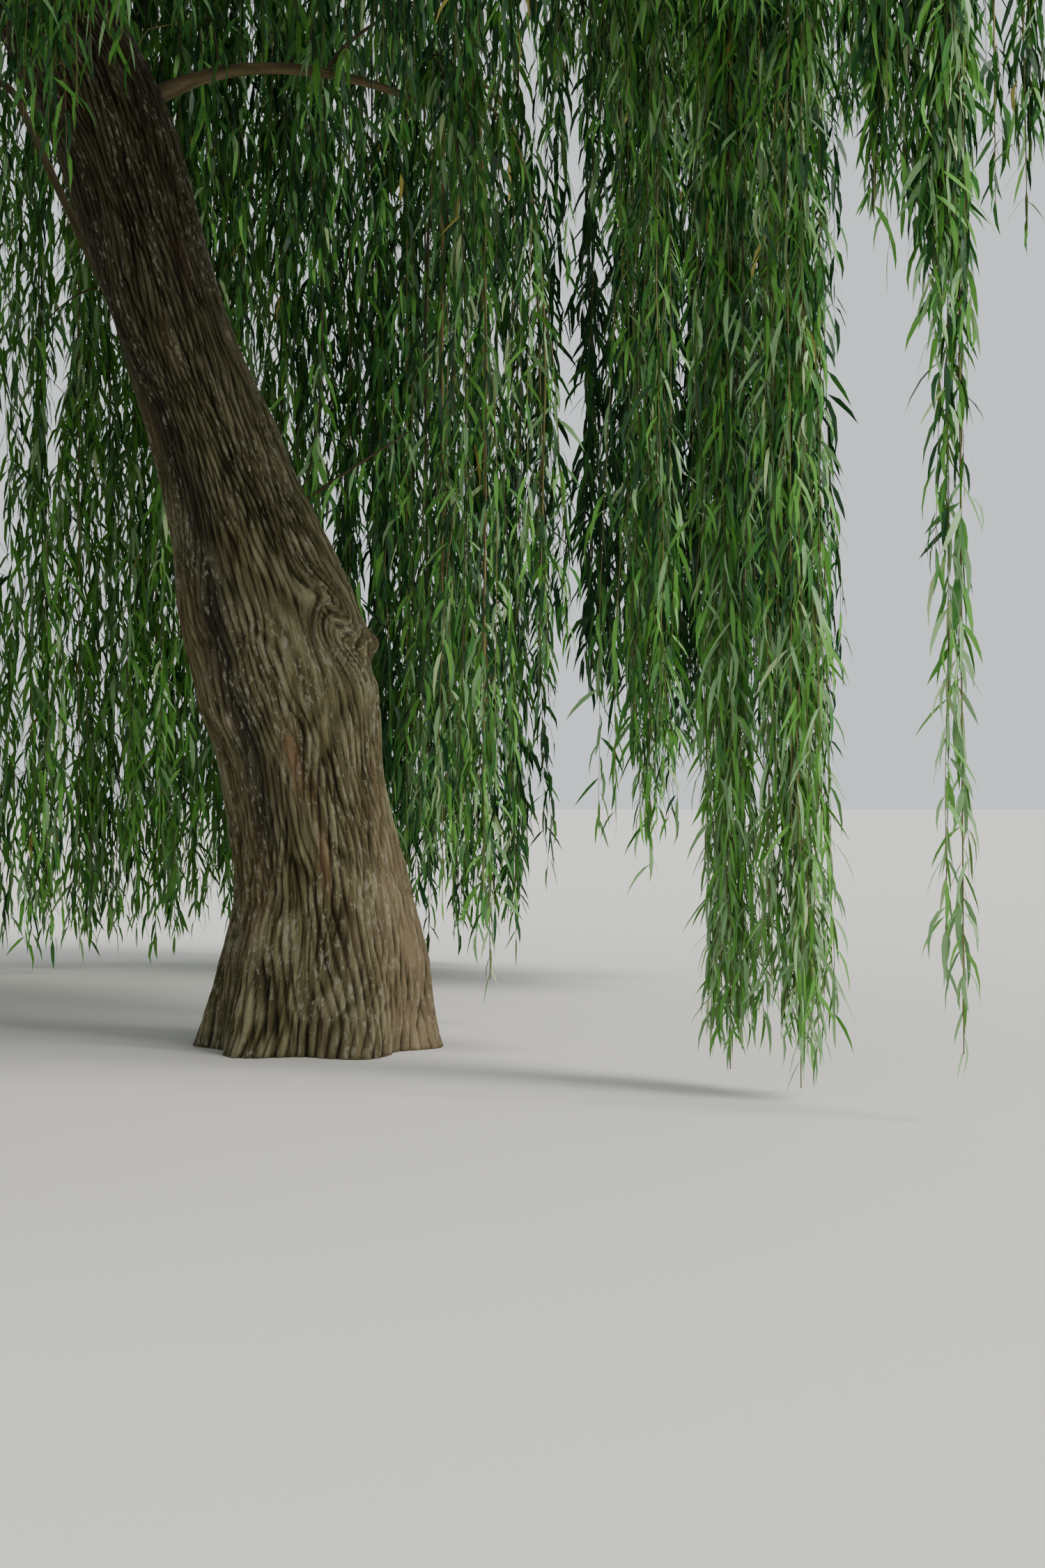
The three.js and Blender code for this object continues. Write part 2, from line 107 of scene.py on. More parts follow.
# Rings of masses round the middle of the crown, and then the masses with places of their own.
RINGS = [
    dict(name="crown", count=4, first=0, step=90, reach=1.0, hem=4.7, oval=(0.44, 0.6), tassels=4),
    dict(name="middle", count=4, first=75, step=58, reach=2.0, hem=2.5, oval=(0.44, 0.76), tassels=5),
    dict(name="outer", count=7, first=85, step=30.7, reach=2.95, hem=0.06, oval=(0.39, 0.68), tassels=5),
]
OWN_PLACES = [
    dict(name="crown_top", x=-1.15, y=0.0, hem=5.6, oval=(0.36, 0.36), tassels=4),
    dict(name="near_curtain", x=1.2, y=-1.07, hem=0.025, rim=3.0, core=0.15, oval=(0.33, 0.33), tassels=7),
    dict(name="edge_strand", x=1.55, y=-1.5, hem=0.16, rim=1.8, core=0.045, oval=(0.15, 0.15), tassels=5,
         spin=0.45),
    dict(name="middle_curtain", x=0.92, y=-0.45, hem=0.54, rim=2.9, core=0.15, oval=(0.36, 0.36), tassels=6),
    dict(name="right_edge", x=2.13, y=0.35, hem=2.5, oval=(0.11, 0.44), tassels=5),
    dict(name="back_right", x=1.29, y=1.84, hem=0.9, oval=(0.4, 0.56), tassels=6),
    dict(name="back_curtain", x=0.21, y=2.56, hem=0.09, oval=(0.42, 0.52), tassels=6),
    dict(name="front_canopy", x=0.2, y=-1.15, hem=2.8, oval=(0.42, 0.48), tassels=5),
    dict(name="near_strands", x=-0.5, y=-1.6, hem=2.25, oval=(0.4, 0.42), tassels=5),
    dict(name="front_edge", x=-0.08, y=-2.64, hem=2.65, oval=(0.38, 0.56), tassels=5),
    dict(name="front_right", x=0.87, y=-2.02, hem=2.7, oval=(0.4, 0.52), tassels=5),
]
LOW_LIMBS = [
    dict(name="low_right", root=(-0.6, 0.03, 2.76), bend=(-0.26, 0.04, 3.03), tip=(0.24, 0.17, 2.88),
         radius=(0.024, 0.012), x=0.47, y=0.43, hem=0.15, rim=0.9, core=0.3, oval=(0.33, 0.33), tassels=6,
         room=(0.44, 0.33, 0.7, 3.35), lift=0.15),
    dict(name="low_left", root=(-0.43, 0.04, 1.85), bend=(-0.62, 0.26, 2.15), tip=(-1.01, 0.52, 2.96),
         radius=(0.018, 0.012), x=-1.23, y=0.76, hem=2.08, oval=(0.22, 0.22), tassels=3,
         room=(-1.18, 0.7, 0.52, 3.35), lift=0.12),
]

# Boughs of the fork and side boughs: the radius at root and tip, where side boughs stand on their parent
# and how thick they are for it, where the bend lies from root to tip in x, y and z, and the sideways sway.
MAIN_RADIUS = (0.104, 0.036)
SIDE_RADIUS = (0.046, 0.024)
SIDE_ROOTS = (0.3, 0.88)
SIDE_SHARE = 0.72
MAIN_BEND = np.array([0.75, 0.85, 0.42])
SIDE_BEND = np.array([0.42, 0.42, 0.86])
MAIN_SWAY = 0.06
SIDE_SWAY = 0.16
# How far a bough ends short of its mass's middle and under the dome, and the radius of what carries the
# boughs of the fork and the low limbs.
TIP_INSET = 0.42
TIP_DEPTH = 1.05
FORK_CARRIER = 0.2
TRUNK_CARRIER = 0.17
# The boughs' tubes, the collar where one leaves its carrier, its furrows and knobs, and the radius from
# which its bark is old.
BOUGH_RINGS = 64
BOUGH_SIDES = 24
COLLAR = 0.6
BOUGH_FURROWS = {"around": 8, "slant": 3.5, "seed": 11}
BOUGH_RELIEF = 0.10
BOUGH_KNOBS = [(0.05, 4, 4.5, 41), (0.03, 7, 17, 42)]
BOUGH_GRAIN_RADIUS = 0.06
OLD_RADIUS = 0.1

# A mass: how far under the dome its stem ends, how it bends and how thick it ends, where tassels leave it,
# how their arches drop, lift and scatter, how far they fall at least, how their hems scatter and swing,
# and the gaps to the crown's edge and to the next mass's space.
STEM_DEPTH = 0.38
STEM_BEND = 0.45
STEM_TIP = 0.012
TWIG_ROOTS = (0.35, 0.98)
ARCH_DROP = 0.9
ARCH_LIFT = 0.04
ARCH_SCATTER = 0.16
LEAST_FALL = 0.1
HEM_SCATTER = 0.42
HEM_SWING = 0.06
EDGE_GAP = 0.02
SPACE_GAP = 0.014

# Short side branches with leaves on them: root, bend, tip and the radius at the root. The last three of
# low_right hang as a strand in front.
SPRIGS = {
    "low_right": [
        ((0.02, 0.10, 2.94), (0.10, 0.08, 3.07), (0.42, 0.02, 3.17), 0.008),
        ((-0.309, 0.04, 2.91), (-0.30, 0.02, 2.98), (-0.325, 0.0, 3.06), 0.004),
        ((-0.018, 0.09, 2.94), (-0.01, 0.06, 3.0), (-0.03, 0.03, 3.08), 0.004),
        ((-0.07, 0.0, 1.60), (0.08, -0.03, 1.70), (0.28, -0.06, 1.82), 0.007),
        ((-0.07, 0.0, 1.62), (0.03, 0.02, 1.75), (0.0, 0.04, 2.4), 0.004),
        ((0.24, 0.17, 2.88), (0.50, -0.36, 3.3), (0.43, -0.34, 0.9), 0.004),
        ((0.24, 0.17, 2.88), (0.56, -0.34, 3.3), (0.49, -0.35, 1.1), 0.004),
        ((0.24, 0.17, 2.88), (0.48, -0.28, 3.2), (0.45, -0.30, 1.4), 0.004),
    ],
    "low_left": [((-0.72, 0.3, 2.32), (-0.81, 0.27, 2.30), (-0.92, 0.25, 2.14), 0.004)],
}

# How each kind of mass is dressed: how many finer tassels for one of the source, whips for a metre of
# tassel, how long the whips are and how wide they spread, how far above the hem they may end and how
# often (a high power keeps most of them low), how far below it, how many of those near a low hem are
# kept, how much larger than life the leaves are and how slim, the stations along a leaf, the shares of
# its greens, and how much paler its leaves grow near the ground.
CLOSE = dict(finer=1, whips=9.0, long=(0.9, 2.3), spread=0.13, rag=0.34, power=1.6, drop=0.0, tail=1.0,
             leaf=1.1, slim=9.6, fine=True, greens="near", pale=0.15)
# FAR's greens are darker as painted shade of the crown, and LEFT_CURTAIN's paler as painted backlight.
FAR = dict(CLOSE, finer=2, whips=3.3, long=(1.2, 2.8), spread=0.21, drop=0.12, leaf=1.3, slim=8.2,
           fine=False, greens="far", pale=0.0)
HIGH = dict(FAR, whips=4.4, long=(0.9, 2.3), spread=0.25, drop=0.0, leaf=1.35, greens="high")
LEFT_CURTAIN = dict(FAR, finer=3, whips=3.6, spread=0.38, greens="light")
DRESS = {
    "near_curtain": dict(CLOSE, whips=14.0, spread=0.076, rag=0.24, power=2.0, drop=0.75, slim=11.5,
                         pale=0.6),
    "edge_strand": dict(CLOSE, whips=10.0, spread=0.034, rag=0.3, power=1.0, drop=0.35, tail=0.35,
                        pale=0.65),
    "middle_curtain": dict(CLOSE, whips=10.5, spread=0.11, drop=0.7, slim=11.0, pale=0.3),
    "low_right": dict(CLOSE, whips=3.6), "low_left": dict(CLOSE, whips=6.0),
    "near_strands": dict(CLOSE, whips=10.0, spread=0.15, drop=0.2, fine=False, greens="high"),
    "front_canopy": dict(CLOSE, finer=2, whips=8.5, spread=0.15, drop=0.55, fine=False, greens="shade"),
    "front_edge": HIGH, "front_right": HIGH, "right_edge": dict(HIGH, whips=6.0, spread=0.24, drop=0.04),
    "crown_top": dict(HIGH, whips=7.0, spread=0.42), "crown": dict(HIGH, whips=6.4, spread=0.42),
    "middle": dict(HIGH, spread=0.32, greens="far"),
    "outer": FAR, "outer_1": LEFT_CURTAIN, "outer_2": LEFT_CURTAIN,
    "back_curtain": dict(FAR, whips=2.5), "back_right": dict(FAR, whips=3.6, greens="shade"),
}

# Whips along the boughs, which are bare up to a share of their length from the root, and how far under a
# bough's tip they may hang. Three boughs have longer ones, and the two low limbs have none.
ON_BOUGHS = dict(whips=20.0, long=(0.4, 1.2), spread=0.5, rag=0.5, power=1.0, drop=0.0, tail=1.0, hang=1.1)
LONG_ON_BOUGHS = {
    "back_right": dict(ON_BOUGHS, whips=22.0, long=(0.6, 1.7), hang=1.6),
    "back_curtain": dict(ON_BOUGHS, whips=18.0, long=(0.6, 1.7), hang=1.6),
    "right_edge": dict(ON_BOUGHS, whips=28.0, long=(0.9, 2.4), spread=0.4, hang=2.5),
}
BARE_BOUGHS = ("low_right", "low_left")
BOUGH_BARE = 0.3

# Places that stay open to the sky, seen from above: low x, high x, low y, high y, and the height below
# which nothing hangs there.
OPEN_PLACES = np.array([
    (0.60, 0.86, -0.10, 0.90, 1.05), (1.05, 1.30, -0.82, -0.10, 0.95), (0.75, 1.075, -1.45, -0.75, 1.0),
    (1.36, 1.70, -1.45, -0.70, 2.3), (1.15, 1.39, -1.80, -1.25, 2.3), (1.39, 1.43, -1.80, -1.25, 2.0),
    (1.43, 1.515, -1.80, -1.25, 1.7), (1.61, 1.95, -1.80, -1.10, 2.6), (1.50, 2.14, -0.45, 1.00, 3.3),
    (-0.48, 0.10, -2.10, -1.15, 2.32), (-0.27, 0.20, -1.75, -0.60, 2.75),
    (-0.60, 0.20, -0.90, 0.12, 3.05), (1.42, 1.75, -0.30, 0.85, 3.3),
])

# Greens of the leaves: a few gold ones, and then from the darkest to the palest. SHARES says how many
# leaves of a mass have each, and they are dealt out leaf by leaf within each spray.
GREENS = {
    "gold": (0.34, 0.29, 0.07), "deep": (0.008, 0.055, 0.012), "mid": (0.038, 0.152, 0.024),
    "fresh": (0.105, 0.300, 0.042), "silver": (0.205, 0.37, 0.16), "pale": (0.36, 0.50, 0.23),
}
# The sets far and shade are darker as painted shade of the masses behind and under the crown, and light is
# paler as painted backlight on the left curtain.
SHARES = {
    "near": (0.005, 0.315, 0.245, 0.235, 0.165, 0.035),
    "light": (0.005, 0.065, 0.24, 0.44, 0.20, 0.05),
    "far": (0.004, 0.416, 0.36, 0.16, 0.05, 0.01),
    "high": (0.004, 0.296, 0.39, 0.20, 0.10, 0.01),
    "shade": (0.002, 0.678, 0.24, 0.06, 0.02, 0.0),
}
# How far a whole spray leans to its own place among the greens, how far its leaves vary round that, and
# the heights between which leaves grow pale downwards.
SPRAY_LEANS = 0.45
LEAF_VARIES = 0.78
PALE_BETWEEN = (1.9, 0.5)
# Browns of the twigs, and the shares up to which the first and the second go.
TWIG_BROWNS = {"olive": (0.13, 0.115, 0.035), "straw": (0.24, 0.19, 0.07), "umber": (0.075, 0.05, 0.025)}
TWIG_SHARES = (0.45, 0.8)

# Twigs: stations along a stem or sprig, a tassel and a whip, the corners round each, and the radii.
STEM_STATIONS = 12
TASSEL_STATIONS = 22
WHIP_STATIONS = 7
STEM_SIDES = 8
SPRIG_SIDES = 6
TASSEL_SIDES = 5
WHIP_SIDES = 3
TASSEL_RADIUS = (0.0065, 0.0015)
WHIP_RADIUS = (0.0021, 0.0008)

# Whips: where on a line the first leaves and over how much of it they stand, the metres in which one
# comes to its spread and turns down, how far and how soon it lifts, how it swings and tilts, and the
# shortest that is kept. Of those that would end this near above the hem, this share reaches down to it.
WHIP_FIRST = 0.1
WHIP_STRETCH = 0.86
WHIP_EASE = 0.2
WHIP_START = 0.1
WHIP_LIFT = (0.0, 0.07)
LIFT_RUN = 0.08
WHIP_SWING = 0.010
SWING_RUN = 0.17
WHIP_TILT = 0.016
LEAST_WHIP = 0.22
NEAR_HEM = 0.9
TO_HEM = 0.75

# Leaves: the pitch on whips and the closer one on arches and sprigs, length, degrees of splay from
# straight down, curl, roll and bow, how the width varies, and how short the last ones of a line are.
LEAF_PITCH = 0.031
CLOSE_PITCH = LEAF_PITCH * 0.55
LEAF_LENGTH = (0.085, 0.145)
LEAF_SPLAY = (10, 62)
LEAF_CURL = (0.2, 0.9)
LEAF_ROLL = 0.9
LEAF_BOW = 0.25
LEAF_WIDTH = (0.85, 1.15)
LAST_LEAVES = 0.72

# How far whips and leaves stay clear of the trunk, and whips of the boughs, and all of the box's sides.
WHIP_CLEAR = 0.03
LEAF_CLEAR = 0.02
BOUGH_CLEAR = 0.012
BOX_CLEAR = 0.002
# With a mass's number, these start the draws for its leaves and for the whips on its bough.
LEAF_SEED = 1000
BOUGH_SEED = 500

# The floor's half side and how far it lies under the cut, the light and the camera.
FLOOR_HALF = 60.0
FLOOR_GAP = 0.001
SKY = {"colour": (0.93, 0.96, 1.0, 1), "strength": 0.9}
SUN = {"energy": 3.0, "degrees": 18, "colour": (1.0, 0.97, 0.9), "tilt": 42, "turn": 58}
CAMERA_PLACE = (0.605, -6.475, 0.777)
LENS = 50.0
SENSOR = 36.0


def mix(a, b, t):
    """The point that is the share t of the way from a to b."""
    return a + (b - a) * t


def scatter(a, b):
    """An even scatter between 0 and 1: the part after the point of seed + 0.618034 a + 0.754878 b."""
    return np.mod(SEED + np.asarray(a) * 0.618034 + np.asarray(b) * 0.754878, 1.0)


def unit(v):
    """Each vector divided by its own length."""
    return v / np.maximum(np.linalg.norm(v, axis=-1, keepdims=True), 1e-12)


def smoothstep(low, high, x):
    """A share from 0 to 1 that eases in and out: 3 s squared less 2 s cubed, s the share of the way."""
    s = np.clip((x - low) / (high - low), 0, 1)
    return s * s * (3 - 2 * s)


def smooth_run(z, column):
    """A smooth run through the trunk's stations: in each span a cubic whose slopes are those between the
    neighbours of its two ends."""
    at, value = TRUNK[:, 0], TRUNK[:, column]
    slope = np.gradient(value, at)
    i = np.clip(np.searchsorted(at, z, side="right") - 1, 0, len(at) - 2)
    span = at[i + 1] - at[i]
    t = (z - at[i]) / span
    return (value[i] * (1 + 2 * t) * (1 - t) ** 2 + slope[i] * span * t * (1 - t) ** 2
            + value[i + 1] * t * t * (3 - 2 * t) - slope[i + 1] * span * t * t * (1 - t))


def arc(root, bend, tip, t):
    """The point of an arc at t: (1-t)^2 root + 2t(1-t) bend + t^2 tip."""
    return (1 - t) ** 2 * root + 2 * t * (1 - t) * bend + t * t * tip


def dealt_out(count):
    """For lines that carry count things each: the line of every thing, and its place on that line."""
    which = np.repeat(np.arange(len(count)), count)
    return which, np.arange(len(which)) - np.repeat(np.cumsum(count) - count, count)


class Limb:
    """A tapering limb on one arc, plus a sideways sway of sin(2 pi t). Its radius runs evenly from thick
    to thin."""

    def __init__(self, name, root, bend, tip, sway, radius, carrier=0.0):
        self.name = name
        self.root, self.bend, self.tip = (np.asarray(p, float) for p in (root, bend, tip))
        self.sway, self.radius, self.carrier = sway, radius, carrier
        self.side = unit(np.cross(self.tip - self.root, UP))

    def at(self, t):
        t = np.asarray(t, float)[..., None]
        return arc(self.root, self.bend, self.tip, t) + self.side * self.sway * np.sin(TURN * t)

    def heading(self, t):
        """The direction of the arc at t: its slope made one long."""
        t = np.asarray(t, float)[..., None]
        swing = self.side * self.sway * TURN * np.cos(TURN * t)
        return unit(2 * (1 - t) * (self.bend - self.root) + 2 * t * (self.tip - self.bend) + swing)

    def thick_at(self, t):
        return mix(self.radius[0], self.radius[1], t)


def dome(x, y):
    """The crown's height over a point: skirt + rise (1 - out^fall)^edge, out the share of its radius."""
    out = np.minimum(np.hypot(x - CROWN["x"], y - CROWN["y"]) / CROWN["radius"], 1)
    rise = CROWN["top"] - CROWN["skirt"]
    return CROWN["skirt"] + rise * (1 - out ** CROWN["fall"]) ** CROWN["edge"]


def turn_of(mass):
    """The direction of a mass from the middle of the crown, in radians."""
    return math.atan2(mass["y"] - CROWN["y"], mass["x"] - CROWN["x"])


def reach_of(mass):
    """How far a mass is from the middle of the crown."""
    return math.hypot(mass["x"] - CROWN["x"], mass["y"] - CROWN["y"])


def from_middle(reach, turn):
    """The place in plan at a reach and a direction from the middle of the crown."""
    return CROWN["x"] + reach * math.cos(turn), CROWN["y"] + reach * math.sin(turn)


def all_masses():
    """The masses of the rings, each at its own angle, and then those with places of their own."""
    found = []
    for ring in RINGS:
        for i in range(ring["count"]):
            x, y = from_middle(ring["reach"], math.radians(ring["first"] + ring["step"] * i))
            found.append(dict(ring, name=f"{ring['name']}_{i + 1}", kind=ring["name"], x=x, y=y))
    return found + [dict(m, kind=m["name"]) for m in OWN_PLACES]


def tip_of(mass):
    """Where the bough of a mass ends: inside the mass's middle and under the dome."""
    x, y = from_middle(max(reach_of(mass) - TIP_INSET, 0), turn_of(mass))
    return np.array([x, y, float(dome(x, y)) - TIP_DEPTH])


def main_limb(mass, index):
    """A bough of the fork climbs steeply from the crotch and then leans out to its tip."""
    tip = tip_of(mass)
    sway = MAIN_SWAY * (float(scatter(index, 5)) - 0.5)
    return Limb(mass["name"], CROTCH, mix(CROTCH, tip, MAIN_BEND), tip, sway, MAIN_RADIUS, FORK_CARRIER)


def side_limb(mass, parent, t, index):
    """A side bough leaves its parent at t, and arches up and out to its own tip."""
    root, tip = parent.at(t), tip_of(mass)
    thick = min(SIDE_RADIUS[0], parent.thick_at(t) * SIDE_SHARE)
    sway = SIDE_SWAY * (float(scatter(index, 9)) - 0.5)
    radius = (thick, SIDE_RADIUS[1])
    return Limb(mass["name"], root, mix(root, tip, SIDE_BEND), tip, sway, radius, parent.thick_at(t))


def grow_limbs(masses):
    """The boughs of the fork, then the side boughs, each on the bough of the fork that is nearest in
    direction, the farthest ones lowest down, and last the two thin limbs that leave the trunk itself."""
    mains = [m for m in masses if m["name"].startswith("crown")]
    others = [m for m in masses if not m["name"].startswith("crown")]
    limbs = {m["name"]: main_limb(m, i) for i, m in enumerate(mains)}
    spreading = [m for m in mains if reach_of(m) > 1e-9]
    families = {m["name"]: [] for m in spreading}
    for mass in others:
        off = [abs(math.remainder(turn_of(mass) - turn_of(m), TURN)) for m in spreading]
        families[spreading[int(np.argmin(np.round(off, 9)))]["name"]].append(mass)
    for parent, family in families.items():
        family.sort(key=reach_of, reverse=True)
        for i, mass in enumerate(family):
            t = mix(*SIDE_ROOTS, (i + 0.5) / len(family))
            limbs[mass["name"]] = side_limb(mass, limbs[parent], t, others.index(mass))
    for low in LOW_LIMBS:
        limbs[low["name"]] = Limb(low["name"], low["root"], low["bend"], low["tip"], 0.0, low["radius"],
                                  TRUNK_CARRIER)
    return limbs


def mesh_piece(name, corners, faces, colours=None, picks=None, smooth=True, marks=None):
    """Puts whole arrays into a mesh: corners, then each block of faces that have one number of sides.
    picks gives each face its place in the list of colours, and marks are values at the corners."""
    mesh = bpy.data.meshes.new(name)
    sizes = np.concatenate([np.full(len(f), f.shape[1]) for f in faces])
    loops = np.concatenate([f.ravel() for f in faces])
    mesh.vertices.add(len(corners))
    mesh.vertices.foreach_set("co", np.asarray(corners, np.float32).ravel())
    mesh.loops.add(len(loops))
    mesh.loops.foreach_set("vertex_index", loops.astype(np.int32))
    mesh.polygons.add(len(sizes))
    mesh.polygons.foreach_set("loop_start", (np.cumsum(sizes) - sizes).astype(np.int32))
    mesh.polygons.foreach_set("use_smooth", np.full(len(sizes), smooth))
    for colour in colours or []:
        mesh.materials.append(colour)
    if picks is not None:
        mesh.polygons.foreach_set("material_index", picks.astype(np.int32))
    for mark, values in (marks or {}).items():
        kind, field = ("FLOAT_VECTOR", "vector") if values.shape[-1] == 3 else ("FLOAT", "value")
        mesh.attributes.new(mark, kind, "POINT").data.foreach_set(field, values.ravel().astype(np.float32))
    mesh.update(calc_edges=True)
    piece = bpy.data.objects.new(name, mesh)
    bpy.context.scene.collection.objects.link(piece)
    return piece


def ring_faces(rings, sides):
    """The four-sided faces between neighbouring rings of a tube, and the two many-sided ones that close
    its ends."""
    ring = np.arange(rings - 1)[:, None] * sides
    side = np.arange(sides)[None, :]
    beside = (side + 1) % sides
    walls = np.stack([ring + side, ring + beside, ring + sides + beside, ring + sides + side], -1)
    ends = np.stack([np.arange(sides)[::-1], np.arange(sides) + (rings - 1) * sides])
    return walls.reshape(-1, 4), ends


def tubes(middles, radii, sides, swell=None):
    """Tubes round many lines at once: at each station a ring of corners, middle + radius (across cos turn
    + other cross direction sin turn), whose first direction is carried on from the last station's so that
    the tube doesn't twist. middles is lines x stations x 3, and swell is each corner's share of the
    radius."""
    lines, rings = middles.shape[:2]
    along = unit(np.gradient(middles, axis=1))
    across = np.empty_like(middles)
    first = np.broadcast_to(np.array([1.0, 0.3, 0.2]), (lines, 3))
    for i in range(rings):
        first = unit(first - (first * along[:, i]).sum(-1, keepdims=True) * along[:, i])
        across[:, i] = first
    other = np.cross(along, across)
    turn = TURN * np.arange(sides) / sides
    reach = radii[:, :, None] * (1 if swell is None else swell)
    ring = across[:, :, None] * np.cos(turn)[:, None] + other[:, :, None] * np.sin(turn)[:, None]
    corners = middles[:, :, None] + ring * reach[..., None]
    walls, ends = ring_faces(rings, sides)
    step = np.arange(lines)[:, None, None] * rings * sides
    walls, ends = (walls[None] + step).reshape(-1, 4), (ends[None] + step).reshape(-1, sides)
    return corners.reshape(-1, 3), walls, ends


def lumps(share, run, around, close, seed, shift=0.0):
    """Soft lumps between -1 and 1: chance heights on a lattice that closes round the limb, so many around
    in a turn and so many close in a metre, eased between crossings by 3 s squared less 2 s cubed."""
    u, v = share * around + shift, run * close
    rng = np.random.default_rng(seed)
    rows = int(v.max()) + 4
    heights = rng.random((rows, around)) * 2 - 1
    column, row = np.floor(u).astype(int), np.floor(v).astype(int)
    s, t = u - column, v - row
    s, t = s * s * (3 - 2 * s), t * t * (3 - 2 * t)
    pick = lambda du, dv: heights[(row + dv + 1) % rows, (column + du) % around]
    return mix(mix(pick(0, 0), pick(1, 0), s), mix(pick(0, 1), pick(1, 1), s), t)


def bark_relief(share, run, around, slant, seed):
    """Interlacing ridges between two families of furrows that slant opposite ways round the limb. A furrow
    lies where around times the share of a turn, plus or less slant times the way along in metres, plus
    soft lumps, comes to a whole number, and it dies out in patches. Gives 0 in a furrow and 1 between."""
    bark = 1.0
    for k, sign in ((0, 1), (1, -1)):
        wander = 1.1 * lumps(share, run, 8, 2.6, seed + k) + 0.45 * lumps(share, run, 27, 9, seed + 2 + k)
        wall = smoothstep(0, 0.75, np.abs(np.sin(math.pi * (around * share + sign * slant * run + wander))))
        held = smoothstep(-0.55, 0.1, lumps(share, run, 21, 6, seed + 4 + k, shift=0.5))
        bark = np.minimum(bark, 1 - held * (1 - wall))
    return bark


def swirled(share, z, degrees, height, reach, radius, twist):
    """Places round a burl, turned about its middle by an angle of twist exp(-(distance / reach)^2), so
    that the grain runs round it. Gives the share of a turn and the height to read the bark at."""
    across = (np.mod(share - degrees / 360 + 0.5, 1) - 0.5) * TURN * radius
    above = z - height
    angle = twist * np.exp(-(across ** 2 + above ** 2) / reach ** 2)
    turned = across * np.cos(angle) - above * np.sin(angle)
    return (np.mod(share + (turned - across) / (TURN * radius), 1),
            z + across * np.sin(angle) + above * np.cos(angle) - above)


def upright(share, run, radius):
    """Where each point would be if its limb stood straight with one radius: (radius cos turn, radius sin
    turn, run). The grain of the bark is laid on this, so that it follows the lean and closes round."""
    turn = TURN * share
    return np.stack([radius * np.cos(turn), radius * np.sin(turn), run], -1)


def from_front(turn, degrees, width):
    """A soft band along the trunk, 1 at a direction and falling as exp(-(angle off / width)^2)."""
    off = np.mod(turn - np.radians(degrees) + math.pi, TURN) - math.pi
    return np.exp(-(off / width) ** 2)


def patch(turn, z, degrees, width, height, reach):
    """A soft patch on the trunk: the band at a direction times exp(-(height off / reach)^2)."""
    return from_front(turn, degrees, width) * np.exp(-((z - height) / reach) ** 2)


def trunk_piece(bark):
    """The trunk as level rings round its leaning middle. Its radius is the half width, times one plus the
    swell of six roots that dies away upwards, plus soft lumps, a lip of bark at the burl on the right,
    and the relief of the bark pressed inwards. A low dome closes the top under the boughs."""
    rise = np.linspace(0, 1, TRUNK_RINGS)
    shut = np.linspace(0, 1, DOME_RINGS + 1)[1:] * math.pi / 2 * DOME_SHUT
    z = np.concatenate([rise * TRUNK[-1, 0], TRUNK[-1, 0] + TRUNK_DOME * np.sin(shut)])[:, None]
    drawn_in = np.concatenate([np.ones(TRUNK_RINGS), np.cos(shut)])[:, None]
    share = (np.arange(TRUNK_SIDES) / TRUNK_SIDES)[None, :]
    turn = TURN * share
    low = np.minimum(z, TRUNK[-1, 0])
    middle, half = smooth_run(low, 1), smooth_run(low, 2)
    share, level = np.broadcast_arrays(share, z)
    root = np.cos(ROOTS["count"] * turn + ROOTS["turn"]) * np.exp(-z / ROOTS["height"])
    grain_share, grain_z = swirled(share, level, **BURL)
    run = grain_z * GRAIN_RUN
    ridge, broad = bark_relief(grain_share, run, **NARROW), bark_relief(grain_share, run, **BROAD)
    body = half * (1 + ROOTS["swell"] * root)
    for high, *lattice in TRUNK_LUMPS:
        body = body + high * lumps(share, level, *lattice)
    for out, *place in SWELLS:
        body = body + out * patch(turn, z, *place)
    high, *lattice = TRUNK_GRIT
    relief = NARROW_DEPTH * (ridge - 1) + BROAD_DEPTH * (broad - 1) + high * lumps(share, level, *lattice)
    reach = (body + relief + BARK_PROUD) * drawn_in
    corners = np.stack([middle + reach * np.cos(turn), reach * TRUNK_DEPTH * np.sin(turn), level], -1)
    walls, ends = ring_faces(TRUNK_RINGS + DOME_RINGS, TRUNK_SIDES)
    # A dark band runs down left of the front and widens to the left higher up as painted shade of that side,
    # the top is darkened as painted shade of the crown, the lower right gets painted sunlight in tan, two
    # strips on the front have lost their outer bark, and there is a small pale scar.
    path = DARK_BAND_AND_SHADE["degrees"] - DARK_BAND_AND_SHADE["swing"] * smoothstep(*DARK_BAND_AND_SHADE["swings"], z)
    width = DARK_BAND_AND_SHADE["width"] + DARK_BAND_AND_SHADE["more"] * smoothstep(*DARK_BAND_AND_SHADE["widens"], z)
    damp = from_front(turn, path, width) * smoothstep(*DARK_BAND_AND_SHADE["starts"], z)
    marks = dict(ridge=0.65 * ridge + 0.35 * broad,
                 damp=np.maximum(damp, DARK_BAND_AND_SHADE["top"] * smoothstep(*DARK_BAND_AND_SHADE["tops"], z)),
                 warm=from_front(turn, SUNLIT_FOOT["degrees"], SUNLIT_FOOT["width"]) * (1 - smoothstep(*SUNLIT_FOOT["fades"], z)),
                 bare=sum(patch(turn, z, *strip) for strip in BARE_STRIPS), scar=patch(turn, z, *SCAR),
                 upright=upright(grain_share, run, GRAIN_RADIUS))
    piece = mesh_piece("trunk_bark", corners.reshape(-1, 3), [walls, ends], [bark], marks=marks)
    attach(piece, "root")
    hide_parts("trunk")


